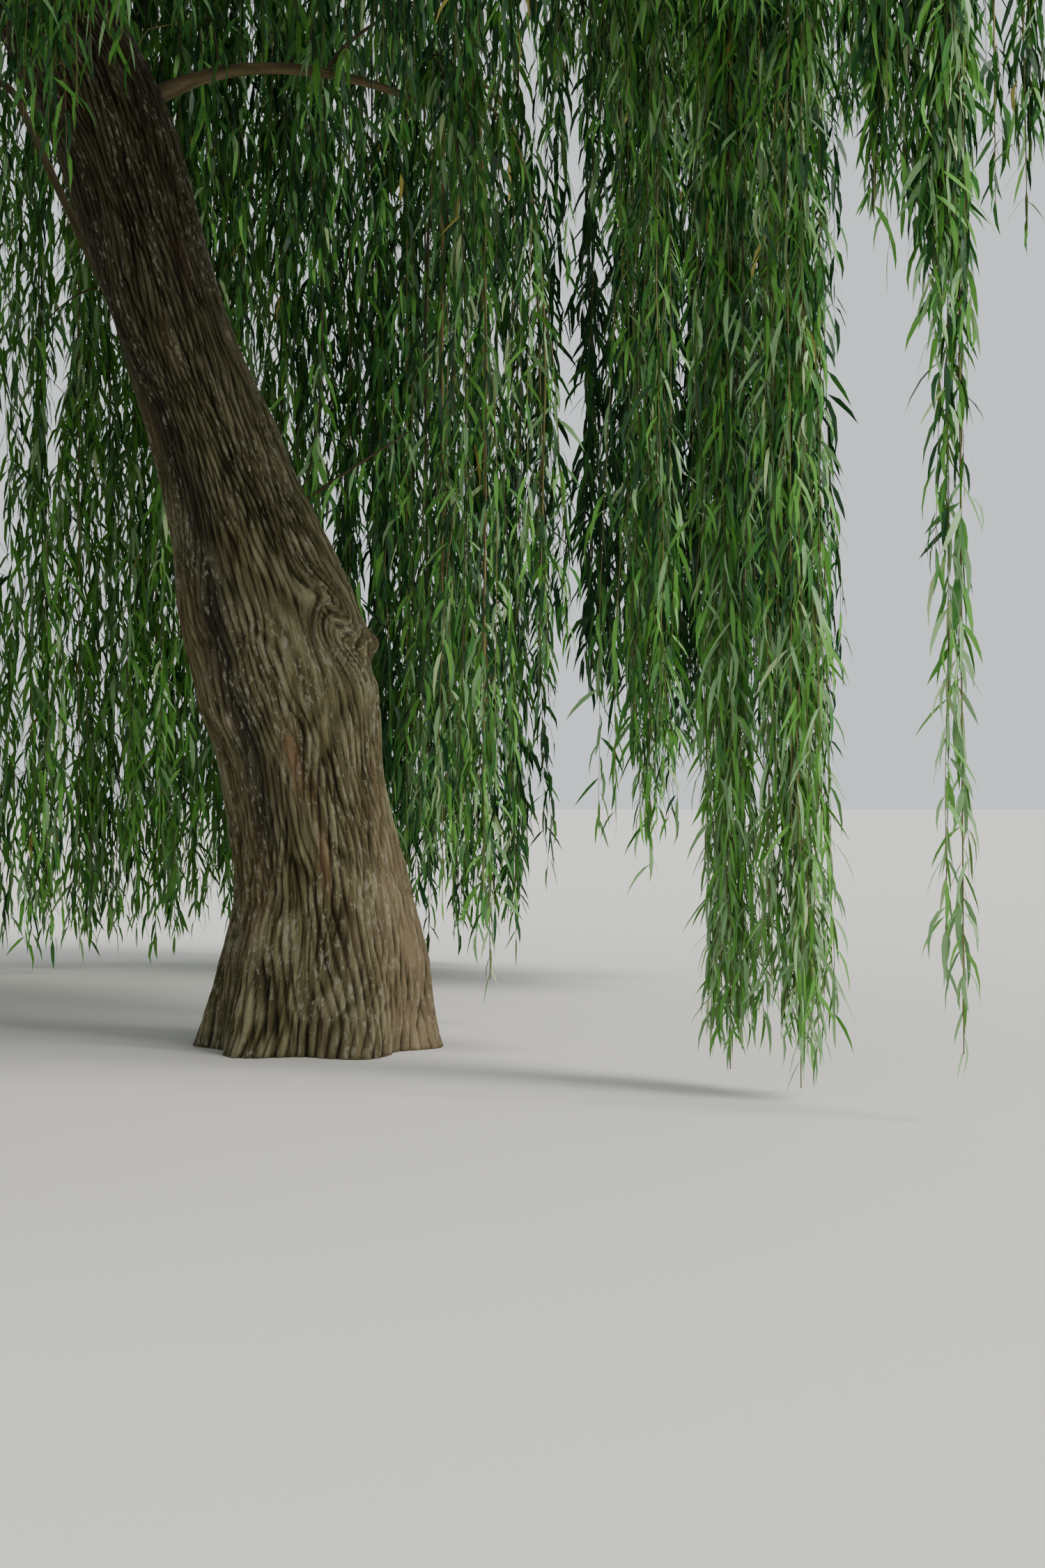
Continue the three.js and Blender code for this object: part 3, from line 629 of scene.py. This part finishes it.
def bough_piece(limbs, bark):
    """Every bough as a tube on its arc, with a collar that swells it by 1 + collar exp(-(run / (carrier's
    radius + 0.05))^2), soft knobs, and furrows that grow shallow as it thins. The rings lie closer near
    the root, and each bough reads its bark at a place of its own."""
    t = np.linspace(0, 1, BOUGH_RINGS) ** 1.25
    middles = np.stack([limb.at(t) for limb in limbs])
    radii = np.stack([limb.thick_at(t) for limb in limbs])
    run = np.concatenate([np.zeros((len(limbs), 1)),
                          np.cumsum(np.linalg.norm(np.diff(middles, axis=1), axis=-1), axis=1)], 1)
    carrier = np.array([limb.carrier for limb in limbs])[:, None]
    radii = radii * (1 + COLLAR * np.exp(-(run / (carrier + 0.05)) ** 2))
    share = np.broadcast_to(np.arange(BOUGH_SIDES) / BOUGH_SIDES, (*radii.shape, BOUGH_SIDES))
    along = np.broadcast_to((run + 3.7 * np.arange(len(limbs))[:, None])[..., None], share.shape)
    ridge = bark_relief(share, along, **BOUGH_FURROWS)
    knobs = sum(high * lumps(share, along, *lattice) for high, *lattice in BOUGH_KNOBS)
    corners, walls, ends = tubes(middles, radii, BOUGH_SIDES, 1 + knobs - BOUGH_RELIEF * (1 - ridge))
    old = np.clip(radii[:, :, None] / OLD_RADIUS, 0, 1) + 0 * share
    marks = dict(ridge=ridge, old=old, upright=upright(share, along, BOUGH_GRAIN_RADIUS))
    piece = mesh_piece("bough_bark", corners, [walls, ends], [bark], marks=marks)
    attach(piece, "root")
    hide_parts(*[f"bough_{limb.name}" for limb in limbs])


def own_space(mass, x, y, hem, rivals):
    """Whether places in plan keep to a mass's own space: inside the crown's edge, nearer to its middle
    than to any rival's, and out of the rooms of the low masses, each of which keeps to its own room."""
    free = np.hypot(x - CROWN["x"], y - CROWN["y"]) < CROWN["radius"] - EDGE_GAP
    if "room" in mass:
        return free & (np.hypot(x - mass["room"][0], y - mass["room"][1]) < mass["room"][2] - SPACE_GAP)
    for low in LOW_LIMBS:
        room = low["room"]
        free &= (np.hypot(x - room[0], y - room[1]) > room[2] + SPACE_GAP) | (hem > room[3])
    own = np.hypot(x - mass["x"], y - mass["y"])
    for other in rivals:
        if other["name"] != mass["name"] and "room" not in other:
            free &= own < np.hypot(x - other["x"], y - other["y"]) - SPACE_GAP
    return free


def open_below(x, y):
    """The height below which a place in plan stays open, 0 where it need not."""
    floor = np.zeros(np.shape(x))
    for low_x, high_x, low_y, high_y, height in OPEN_PLACES:
        within = (x > low_x) & (x < high_x) & (y > low_y) & (y < high_y)
        floor = np.where(within, np.maximum(floor, height), floor)
    return floor


class Tassels:
    """The tassels of a mass. Each rises from the mass's stem in an arch over the dome, which takes the
    first stretch of it, and then falls straight to its hem. One that would leave the mass's own space is
    skipped."""

    def __init__(self, mass, limb, index, finer, rivals):
        n = mass["tassels"] * finer
        j = np.arange(n)
        turn = turn_of(mass)
        out = np.sqrt((j + 0.35) / n)
        angle = TURN * (j * GOLDEN + scatter(index, 1) + mass.get("spin", 0))
        a, b = out * mass["oval"][0] * np.cos(angle), out * mass["oval"][1] * np.sin(angle)
        x = mass["x"] + a * math.cos(turn) - b * math.sin(turn)
        y = mass["y"] + a * math.sin(turn) + b * math.cos(turn)
        low = np.hypot(a, b) < mass["core"] if "core" in mass else np.ones(n, bool)
        hem = np.where(low, mass["hem"], mass.get("rim", 0.0))
        hem = hem + np.where(j > 0, HEM_SCATTER * scatter(j, index), 0)
        hem = np.maximum(hem, open_below(x, y))
        heading = limb.heading(1.0)
        start = limb.at(1.0)
        top = start[2] + mass["lift"] if "room" in mass else float(dome(mass["x"], mass["y"])) - STEM_DEPTH
        end = np.array([mass["x"], mass["y"], top])
        bend = start + heading * STEM_BEND * np.linalg.norm(end - start)
        self.stem = Limb(mass["name"], start, bend, end, 0.0, (limb.radius[1], min(limb.radius[1], STEM_TIP)))
        roof = top + 0 * x if "room" in mass else dome(x, y)
        self.root = self.stem.at(mix(*TWIG_ROOTS, (j + 0.5) / n))
        self.over = np.stack([x, y, roof + ARCH_LIFT - ARCH_SCATTER * scatter(j, 4)], -1)
        self.foot = np.stack([x + HEM_SWING * (scatter(j, 6) - 0.5), y, hem], -1)
        shoulder = np.maximum(hem + LEAST_FALL, self.over[:, 2] - ARCH_DROP)
        self.shoulder = np.stack([x, y, shoulder], -1)
        free = own_space(mass, x, y, hem, rivals)
        for part in ("root", "over", "foot", "shoulder"):
            setattr(self, part, getattr(self, part)[free])
        shoulder, hem = shoulder[free], hem[free]
        self.low, self.rim = low[free], mass.get("rim", 0.0)
        self.drops = ~self.low if "core" in mass else self.low
        self.arch_run = np.linalg.norm(self.over - self.root, axis=-1) * 0.75 + ARCH_DROP * 0.6
        self.fall_run = np.maximum(shoulder - hem, LEAST_FALL)
        self.count = len(hem)

    def at(self, which, share):
        """The point of tassel which at a share of its whole run, arch and fall counted by length."""
        run = share * (self.arch_run + self.fall_run)[which]
        t = np.clip(run / self.arch_run[which], 0, 1)[..., None]
        arch = arc(self.root[which], self.over[which], self.shoulder[which], t)
        s = np.clip((run - self.arch_run[which]) / self.fall_run[which], 0, 1)[..., None]
        return arch + s * (self.foot[which] - self.shoulder[which])


class BoughLine:
    """The outer part of a bough, as one line from which whips hang down to a hem of their own."""

    def __init__(self, limb, hang):
        self.limb, self.count = limb, 1
        self.arch_run = np.array([(1 - BOUGH_BARE) * np.linalg.norm(limb.tip - limb.root)])
        self.fall_run = np.array([0.0])
        self.foot = limb.at([1.0]) - hang * UP
        self.low, self.drops, self.rim = np.array([False]), np.array([False]), 0.0

    def at(self, which, share):
        return self.limb.at(mix(BOUGH_BARE, 1.0, share))


class Whips:
    """Thin whips along the tassels or a bough. Each goes out sideways by its own spread, first a little
    upwards and soon straight down, and swings slightly on the way. d metres along it the point is root +
    outward spread (1 - exp(-d / ease)) - down (d less a short start) + swing sin(d / swing's run + its
    own phase)."""

    PARTS = ("root", "out", "length", "lift", "swing", "phase", "tilt")

    def __init__(self, tassels, dress, seed):
        rng = np.random.default_rng(seed)
        whole = tassels.arch_run + tassels.fall_run
        count = np.maximum(3, np.round(whole * dress["whips"])).astype(int)
        which, place = dealt_out(count)
        n = len(which)
        share = (place + rng.random(n)) / count[which]
        share = WHIP_FIRST + WHIP_STRETCH * share
        self.root = tassels.at(which, share)
        away = tassels.at(which, np.minimum(share + 0.02, 1)) - self.root
        turn = TURN * (place * GOLDEN + scatter(which, seed)) + rng.normal(0, 0.4, n)
        level = np.stack([np.cos(turn), np.sin(turn)], -1)
        lean = away[:, :2] / 0.08
        self.out = (level * (dress["spread"] * np.sqrt(rng.random(n)))[:, None]
                    + lean * rng.uniform(0, 0.12, n)[:, None])
        length = mix(*dress["long"], rng.random(n) ** 1.3)
        foot = np.maximum(tassels.foot[which, 2] - dress["drop"] * tassels.drops[which], 0.02)
        foot = np.maximum(foot, open_below(*(self.root[:, :2] + self.out).T))
        lowest = foot + dress["rag"] * rng.random(n) ** dress["power"]
        room = self.root[:, 2] - lowest
        reaches = (room - length < NEAR_HEM) & (rng.random(n) < TO_HEM)
        self.length = np.where(reaches, room, np.minimum(length, room))
        self.lift = rng.uniform(*WHIP_LIFT, n)
        self.swing = rng.normal(0, WHIP_SWING, (n, 2))
        self.phase = rng.uniform(0, TURN, n)
        self.tilt = rng.normal(0, WHIP_TILT, (n, 2))
        low_down = tassels.low[which] & (self.root[:, 2] < tassels.rim + 0.5)
        self.keep((self.length > LEAST_WHIP) & ~(low_down & (rng.random(n) > dress["tail"])))

    def keep(self, mask):
        for part in self.PARTS:
            setattr(self, part, getattr(self, part)[mask])

    def join(self, others):
        for part in self.PARTS:
            setattr(self, part, np.concatenate([getattr(self, part), getattr(others, part)]))

    def at(self, which, d):
        """The point d metres along each named whip."""
        point = self.root[which] + 0 * d[..., None]
        eased = 1 - np.exp(-d / WHIP_EASE)
        wave = np.sin(d / SWING_RUN + self.phase[which]) * np.minimum(d / 0.4, 1)
        point[..., :2] += (self.out[which] * eased[..., None] + self.swing[which] * wave[..., None]
                           + self.tilt[which] * d[..., None])
        rise = self.lift[which] * (d / LIFT_RUN) * np.exp(1 - d / LIFT_RUN)
        point[..., 2] += rise - (d - WHIP_START * (1 - np.exp(-d / WHIP_START)))
        return point


def clear_of_trunk(points, margin):
    """Whether points are outside the trunk's level ring at their height."""
    z = np.clip(points[..., 2], 0, TRUNK[-1, 0])
    off = np.hypot(points[..., 0] - smooth_run(z, 1), points[..., 1] / TRUNK_DEPTH)
    return (off > smooth_run(z, 2) + margin) | (points[..., 2] > TRUNK[-1, 0] + 0.2)


def clear_of_boughs(points, limbs, own):
    """Whether points are outside every bough but their own, by their distance to stations on it."""
    free = np.ones(points.shape[:-1], bool)
    for limb in limbs:
        if limb is own:
            continue
        t = np.linspace(0, 1, 40)
        near = np.linalg.norm(points[..., None, :] - limb.at(t), axis=-1) - limb.thick_at(t)
        free &= near.min(-1) > BOUGH_CLEAR
    return free


def inside_solids(points):
    """Whether points keep to the box of the solids."""
    low, high = np.array(solids_low) + BOX_CLEAR, np.array(solids_high) - BOX_CLEAR
    return ((points > low) & (points < high)).all(-1)


# Where the pairs of corners stand along a leaf, and the half width there as a share of the widest.
LEAF_PAIRS = {True: ((0.2, 0.86), (0.46, 1.0), (0.76, 0.62)), False: ((0.3, 1.0), (0.68, 0.74))}


def leaf_corners(base, turn, splay, roll, length, width, curl, bow, pairs):
    """Narrow leaves: the base, some pairs of corners and the tip. The middle line leaves the base at the
    splay from straight down, bends down by curl times the square of the way along, the more the wider it
    splays, and bows to one side by bow times way (1 - way). The leaf is rolled about it."""
    level = np.stack([np.cos(turn), np.sin(turn), 0 * turn], -1)
    along = unit(level * np.sin(splay)[:, None] - UP * np.cos(splay)[:, None])
    side = np.stack([-np.sin(turn), np.cos(turn), 0 * turn], -1)
    flat = np.cross(along, side)
    across = side * np.cos(roll)[:, None] + flat * np.sin(roll)[:, None]
    droop = -(UP + along * np.cos(splay)[:, None])
    spots = [(0, 0)] + [(way, half * sign) for way, half in pairs for sign in (1, -1)] + [(1, 0)]
    corners = np.empty((len(base), len(spots), 3))
    for k, (way, half) in enumerate(spots):
        corners[:, k] = (base + along * (length * way)[:, None] + droop * (length * curl * way * way)[:, None]
                         + side * (length * bow * way * (1 - way))[:, None]
                         + across * (0.5 * width * half)[:, None])
    return corners


def leaf_faces(pairs):
    """The triangles of a leaf: one at the base, two between each pair of corners and the next, one at
    the tip."""
    faces = [(0, 2, 1)]
    for k in range(1, 2 * len(pairs) - 2, 2):
        faces += [(k, k + 1, k + 3), (k, k + 3, k + 2)]
    return np.array(faces + [(2 * len(pairs) - 1, 2 * len(pairs), 2 * len(pairs) + 1)])


def leaves_on(point_at, count, run, first, dress, rng):
    """Leaves one pitch apart along lines, each turned on by the golden angle from the last one. point_at
    gives the point d metres along a line, and count, run and first are for each line."""
    which, place = dealt_out(count)
    n = len(which)
    d = first[which] + (place + rng.uniform(0.1, 0.9, n)) * (run / np.maximum(count, 1))[which]
    base = point_at(which, d)
    turn = TURN * (place * GOLDEN + scatter(which, 3)) + rng.normal(0, 0.35, n)
    splay = np.radians(mix(*LEAF_SPLAY, rng.random(n) ** 1.2))
    roll = rng.normal(0, LEAF_ROLL, n)
    length = mix(*LEAF_LENGTH, rng.random(n)) * dress["leaf"]
    way = np.clip(d / np.maximum(run[which] + first[which], 0.1), 0, 1)
    length = length * mix(1.0, LAST_LEAVES, way ** 3)
    width = length / dress["slim"] * rng.uniform(*LEAF_WIDTH, n)
    curl, bow = rng.uniform(*LEAF_CURL, n), rng.normal(0, LEAF_BOW, n)
    return leaf_corners(base, turn, splay, roll, length, width, curl, bow, LEAF_PAIRS[dress["fine"]]), which


def sprig_points(sprigs, which, share):
    """The point of each named sprig at a share of its arc, without a sway."""
    root, bend, tip = (np.stack([getattr(s, end) for s in sprigs])[which] for end in ("root", "bend", "tip"))
    return arc(root, bend, tip, share[..., None])


def clear_lines(whips, limb, limbs):
    """Drops the whips that would leave the box of the solids, or stand in the trunk or in a bough, and
    gives the lines of those that are kept."""
    each = np.arange(len(whips.length))[:, None]
    lines = whips.at(each, whips.length[:, None] * np.linspace(0, 1, WHIP_STATIONS))
    clear = clear_of_trunk(lines, WHIP_CLEAR).all(-1) & inside_solids(lines).all(-1)
    clear &= clear_of_boughs(lines[:, 2:], limbs, limb).all(-1)
    whips.keep(clear)
    return lines[clear]


def twig_piece(mass, tassels, lines, sprigs, browns):
    """The stem, tassels, whips and sprigs of a mass, as tubes with their own numbers of sides. Each tassel
    and whip has one brown, dealt out by its number, and the stem and the sprigs are umber."""
    stem_t = np.linspace(0, 1, STEM_STATIONS)
    share = np.linspace(0, 1, TASSEL_STATIONS)[None, :]
    falls = tassels.at(np.arange(tassels.count)[:, None], share)
    thin = mix(*WHIP_RADIUS, np.linspace(0, 1, WHIP_STATIONS))[None, :]
    parts = [tubes(tassels.stem.at(stem_t)[None], tassels.stem.thick_at(stem_t)[None], STEM_SIDES),
             tubes(falls, mix(*TASSEL_RADIUS, share) + 0 * falls[..., 0], TASSEL_SIDES),
             tubes(lines, thin + 0 * lines[..., 0], WHIP_SIDES)]
    if sprigs:
        parts.append(tubes(np.stack([sprig.at(stem_t) for sprig in sprigs]),
                           np.stack([sprig.thick_at(stem_t) for sprig in sprigs]), SPRIG_SIDES))
    corners, faces, first = [], {}, 0
    for pts, walls, ends in parts:
        corners.append(pts)
        for block in (walls, ends):
            faces.setdefault(block.shape[1], []).append(block + first)
        first += len(pts)
    blocks = [np.concatenate(faces[k]) for k in sorted(faces)]
    twig_of = np.concatenate([
        np.zeros(STEM_STATIONS * STEM_SIDES),
        1 + np.repeat(np.arange(tassels.count), TASSEL_STATIONS * TASSEL_SIDES),
        1 + tassels.count + np.repeat(np.arange(len(lines)), WHIP_STATIONS * WHIP_SIDES),
        np.zeros(len(sprigs) * STEM_STATIONS * SPRIG_SIDES),
    ])[np.concatenate([block[:, 0] for block in blocks])]
    dealt = np.searchsorted(TWIG_SHARES, scatter(twig_of, 8), side="right")
    picks = np.where(twig_of == 0, list(TWIG_BROWNS).index("umber"), dealt)
    twigs = mesh_piece(f"twigs_{mass['name']}", np.concatenate(corners), blocks, browns, picks)
    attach(twigs, "root")


def leaf_piece(mass, dress, tassels, whips, sprigs, greens, rng):
    """The leaves of a mass: along each whip, along the outer part of each arch, down to the end of each
    tassel, and along the sprigs. What would leave the box of the solids or grow in the trunk is skipped."""
    whole = tassels.arch_run + tassels.fall_run
    along = lambda which, d: tassels.at(which, d / whole[which])
    low = 0.6 * tassels.fall_run
    length = np.array([np.linalg.norm(sprig.tip - sprig.root) for sprig in sprigs])
    sprig_at = lambda which, d: sprig_points(sprigs, which, d / length[which])
    rows = [
        (whips.at, LEAF_PITCH, whips.length - 0.03, 0 * whips.length + 0.03),
        (along, CLOSE_PITCH, tassels.arch_run * 0.8, tassels.arch_run * 0.25),
        (along, LEAF_PITCH, low, whole - low),
        (sprig_at, CLOSE_PITCH, 0.92 * length, 0.08 * length),
    ]
    leaves, spray = [], []
    for point_at, pitch, run, first in rows:
        if len(run):
            made, of = leaves_on(point_at, np.maximum(2, (run / pitch).astype(int)), run, first, dress, rng)
            leaves.append(made)
            spray.append(of + (spray[-1].max() + 1 if spray else 0))
    leaves, spray = np.concatenate(leaves), np.concatenate(spray)
    inside = inside_solids(leaves).all(-1) & clear_of_trunk(leaves[:, 0], LEAF_CLEAR)
    leaves, spray = leaves[inside], spray[inside]
    corners = leaves.reshape(-1, 3)
    outline = leaf_faces(LEAF_PAIRS[dress["fine"]])
    triangles = (outline[None] + leaves.shape[1] * np.arange(len(leaves))[:, None, None]).reshape(-1, 3)
    shares = np.cumsum(SHARES[dress["greens"]])
    # Each spray leans to its own place in the run of greens, its leaves vary round it, and near the
    # ground they are drawn towards the pale end.
    draw = np.mod(SPRAY_LEANS * scatter(spray, 2) + LEAF_VARIES * rng.random(len(leaves)), 1.0)
    draw = 1 - (1 - draw) * (1 - dress["pale"] * smoothstep(*PALE_BETWEEN, leaves[:, 0, 2]))
    pick = np.minimum(np.searchsorted(shares, draw), len(shares) - 1)
    picks = np.repeat(pick, len(outline))
    piece = mesh_piece(f"leaves_{mass['name']}", corners, [triangles], greens, picks, smooth=dress["fine"])
    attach(piece, "root")
    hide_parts(f"foliage_{mass['name']}")


def dress_mass(mass, limb, index, limbs, rivals, greens, browns):
    """One mass: its stem, its tassels, whips from the tassels and from its bough, sprigs where it has
    any, and leaves along them all."""
    dress = DRESS.get(mass["name"], DRESS[mass["kind"]])
    tassels = Tassels(mass, limb, index, dress["finer"], rivals)
    whips = Whips(tassels, dress, index)
    if mass["name"] not in BARE_BOUGHS:
        more = LONG_ON_BOUGHS.get(mass["name"], ON_BOUGHS)
        whips.join(Whips(BoughLine(limb, more["hang"]), dict(dress, **more), BOUGH_SEED + index))
    lines = clear_lines(whips, limb, limbs)
    sprigs = [Limb("sprig", root, bend, tip, 0.0, (thick, 0.3 * thick))
              for root, bend, tip, thick in SPRIGS.get(mass["name"], [])]
    twig_piece(mass, tassels, lines, sprigs, browns)
    leaf_piece(mass, dress, tassels, whips, sprigs, greens, np.random.default_rng(LEAF_SEED + index))


class Finish:
    """A material under way: its nodes are put in one after the other and wired up by name."""

    def __init__(self, name):
        self.material = bpy.data.materials.new(name)
        self.material.use_nodes = True
        self.tree = self.material.node_tree
        self.shader = self.tree.nodes["Principled BSDF"]

    def put(self, kind, wires=(), **values):
        """A node of a kind, with its settings, and its sockets wired or set from wires."""
        node = self.tree.nodes.new(kind)
        for key, value in values.items():
            setattr(node, key, value)
        for socket, value in dict(wires).items():
            self.wire(value, node.inputs[socket])
        return node

    def wire(self, value, socket):
        if isinstance(value, bpy.types.NodeSocket):
            self.tree.links.new(value, socket)
        else:
            socket.default_value = value

    def mark(self, name):
        """The value that the mesh carries at its corners under a name."""
        return self.put("ShaderNodeAttribute", attribute_name=name).outputs["Fac"]

    def laid(self, stretch):
        """The upright place that the mesh carries, drawn out along the limb."""
        place = self.put("ShaderNodeAttribute", attribute_name="upright").outputs["Vector"]
        return self.put("ShaderNodeMapping", {"Vector": place, "Scale": (1, 1, stretch)}).outputs["Vector"]

    def grain(self, scale, detail, stretch=1.0, rough=0.55, twist=0.0):
        """Noise along the limb, in metres."""
        wires = {"Vector": self.laid(stretch), "Scale": scale, "Detail": detail, "Roughness": rough,
                 "Distortion": twist}
        return self.put("ShaderNodeTexNoise", wires).outputs["Fac"]

    def band(self, value, low, high):
        """Eases a value to a share from 0 at low to 1 at high."""
        wires = {"Value": value, "From Min": low, "From Max": high}
        return self.put("ShaderNodeMapRange", wires, interpolation_type="SMOOTHSTEP").outputs["Result"]

    def times(self, a, b):
        return self.put("ShaderNodeMath", {0: a, 1: b}, operation="MULTIPLY").outputs[0]

    def blend(self, share, below, above, how="MIX"):
        """Lays one colour over another by a share."""
        node = self.put("ShaderNodeMix", data_type="RGBA", blend_type=how)
        self.wire(share, node.inputs[0])
        for value, socket in ((below, node.inputs[6]), (above, node.inputs[7])):
            self.wire(value if isinstance(value, bpy.types.NodeSocket) else (*value, 1), socket)
        return node.outputs[2]

    def ramp(self, value, stops):
        """A run of colours with a stop at each given share."""
        node = self.put("ShaderNodeValToRGB", {"Fac": value})
        points = node.color_ramp.elements
        points[0].position, points[0].color = stops[0][0], (*stops[0][1], 1)
        points[1].position, points[1].color = stops[-1][0], (*stops[-1][1], 1)
        for at, colour in stops[1:-1]:
            points.new(at).color = (*colour, 1)
        return node.outputs["Color"]

    def done(self, colour, roughness, shine, bump=None):
        """Wires up the shader, with a bump where there is one, and gives the material."""
        self.wire(colour, self.shader.inputs["Base Color"])
        self.wire(roughness, self.shader.inputs["Roughness"])
        self.wire(shine, self.shader.inputs["Specular IOR Level"])
        if bump is not None:
            self.wire(bump.outputs["Normal"], self.shader.inputs["Normal"])
        return self.material


def furrowed_bark():
    """Old bark: nearly black in the furrows and grey-brown on the ridges, with orange-brown stains, pale
    flecks like lichen on the ridges, a dark, glossy band that widens into painted shade of the left side,
    painted shade of the crown over the top, and painted sunlight in tan on the ridges of the lower right."""
    bark = Finish("furrowed_bark")
    ridge = bark.mark("ridge")
    colour = bark.ramp(ridge, [(0.0, (0.020, 0.017, 0.009)), (0.35, (0.068, 0.060, 0.030)),
                               (0.68, (0.185, 0.168, 0.092)), (1.0, (0.300, 0.278, 0.165))])
    fibre = bark.grain(75, 7, 0.09, 0.6, 0.3)
    colour = bark.blend(bark.band(fibre, 0.60, 0.38), colour, (0.42, 0.40, 0.34), "MULTIPLY")
    tone = bark.grain(16, 5, 0.3, 0.6)
    colour = bark.blend(bark.band(tone, 0.62, 0.36), colour, (0.62, 0.60, 0.50), "MULTIPLY")
    stain = bark.times(bark.band(bark.grain(8, 4, 0.25), 0.54, 0.68), 0.35)
    colour = bark.blend(stain, colour, (0.165, 0.100, 0.050))
    fleck = bark.times(bark.band(bark.grain(95, 3, 0.38, 0.55, 0.5), 0.55, 0.61), bark.band(ridge, 0.35, 0.8))
    fleck = bark.times(fleck, bark.band(bark.grain(10, 3, 0.35), 0.38, 0.56))
    colour = bark.blend(bark.times(fleck, 0.65), colour, (0.35, 0.335, 0.265))
    # Painted sunlight: the ridges of the lower right are lightened to tan.
    sunlit_ridges = bark.times(bark.mark("warm"), bark.band(ridge, 0.1, 0.7))
    colour = bark.blend(bark.times(sunlit_ridges, 0.5), colour, (0.31, 0.225, 0.140))
    colour = bark.blend(bark.times(bark.mark("bare"), 0.7), colour, (0.25, 0.145, 0.080))
    # The dark band, with the painted shade of the left side and of the crown over the top, darkens the colour
    # here and lowers the roughness below.
    damp = bark.mark("damp")
    colour = bark.blend(bark.times(damp, bark.band(fleck, 1.4, 0.1)), colour, (0.30, 0.28, 0.25), "MULTIPLY")
    colour = bark.blend(bark.mark("scar"), colour, (0.45, 0.37, 0.27))
    grit = bark.put("ShaderNodeBump", {"Height": bark.grain(140, 6, 0.4, 0.65), "Strength": 0.35,
                                       "Distance": 0.003})
    bump = bark.put("ShaderNodeBump", {"Height": fibre, "Strength": 1.0, "Distance": 0.014,
                                       "Normal": grit.outputs["Normal"]})
    return bark.done(colour, bark.band(damp, 1.6, -0.2), 0.25, bump)


def bough_bark():
    """Younger bark: olive-brown and nearly smooth where the bough is thin, grey and furrowed where it is
    thick, with rows of pale pores and a breath of moss."""
    bark = Finish("bough_bark")
    ridge, old = bark.mark("ridge"), bark.mark("old")
    rough = bark.ramp(ridge, [(0.0, (0.03, 0.022, 0.014)), (0.5, (0.115, 0.09, 0.062)),
                              (1.0, (0.21, 0.178, 0.13))])
    young = bark.ramp(bark.grain(28, 5, 0.3), [(0.3, (0.075, 0.055, 0.028)), (0.55, (0.135, 0.105, 0.05)),
                                               (0.75, (0.2, 0.165, 0.1))])
    colour = bark.blend(bark.band(old, 0.3, 0.75), young, rough)
    pores = bark.band(bark.grain(90, 2, 3.0), 0.66, 0.72)
    colour = bark.blend(bark.times(pores, 0.5), colour, (0.33, 0.28, 0.2))
    moss = bark.times(bark.band(bark.grain(9, 4), 0.52, 0.7), 0.4)
    colour = bark.blend(moss, colour, (0.07, 0.085, 0.022))
    bump = bark.put("ShaderNodeBump", {"Height": bark.grain(110, 6, 0.4), "Strength": 0.4, "Distance": 0.003})
    return bark.done(colour, 0.8, 0.3, bump)


def plain(name, colour, roughness):
    """One even colour, for a leaf, a thin twig or the floor."""
    return Finish(name).done((*colour, 1), roughness, 0.35)


def set_stage():
    """A pale floor, soft light from a large lamp and the surroundings, and the camera low in front."""
    corners = FLOOR_HALF * np.array([(-1, -1, 0), (1, -1, 0), (1, 1, 0), (-1, 1, 0)]) - FLOOR_GAP * UP
    pale = plain("pale_floor", (0.72, 0.70, 0.66), 0.8)
    floor = mesh_piece("floor", corners, [np.array([[0, 1, 2, 3]])], [pale])
    world = bpy.context.scene.world or bpy.data.worlds.new("studio")
    bpy.context.scene.world = world
    world.use_nodes = True
    world.node_tree.nodes["Background"].inputs["Color"].default_value = SKY["colour"]
    world.node_tree.nodes["Background"].inputs["Strength"].default_value = SKY["strength"]
    sun = bpy.data.lights.new("soft_sun", "SUN")
    sun.energy, sun.angle, sun.color = SUN["energy"], math.radians(SUN["degrees"]), SUN["colour"]
    lamp = bpy.data.objects.new("soft_sun", sun)
    lamp.rotation_euler = (math.radians(SUN["tilt"]), 0, math.radians(SUN["turn"]))
    bpy.context.scene.collection.objects.link(lamp)
    lens = bpy.data.cameras.new("camera")
    lens.lens, lens.sensor_width, lens.sensor_fit = LENS, SENSOR, "AUTO"
    camera = bpy.data.objects.new("camera", lens)
    camera.location, camera.rotation_euler = CAMERA_PLACE, (math.radians(90), 0, 0)
    bpy.context.scene.collection.objects.link(camera)
    bpy.context.scene.camera = camera


masses = all_masses()
limbs = grow_limbs(masses)
masses += [dict(low, kind=low["name"]) for low in LOW_LIMBS]
trunk_piece(furrowed_bark())
bough_piece(list(limbs.values()), bough_bark())
greens = [plain(f"leaf_{name}", colour, 0.5) for name, colour in GREENS.items()]
browns = [plain(f"twig_{name}", colour, 0.6) for name, colour in TWIG_BROWNS.items()]
for index, mass in enumerate(masses):
    dress_mass(mass, limbs[mass["name"]], index, list(limbs.values()), masses, greens, browns)
set_stage()
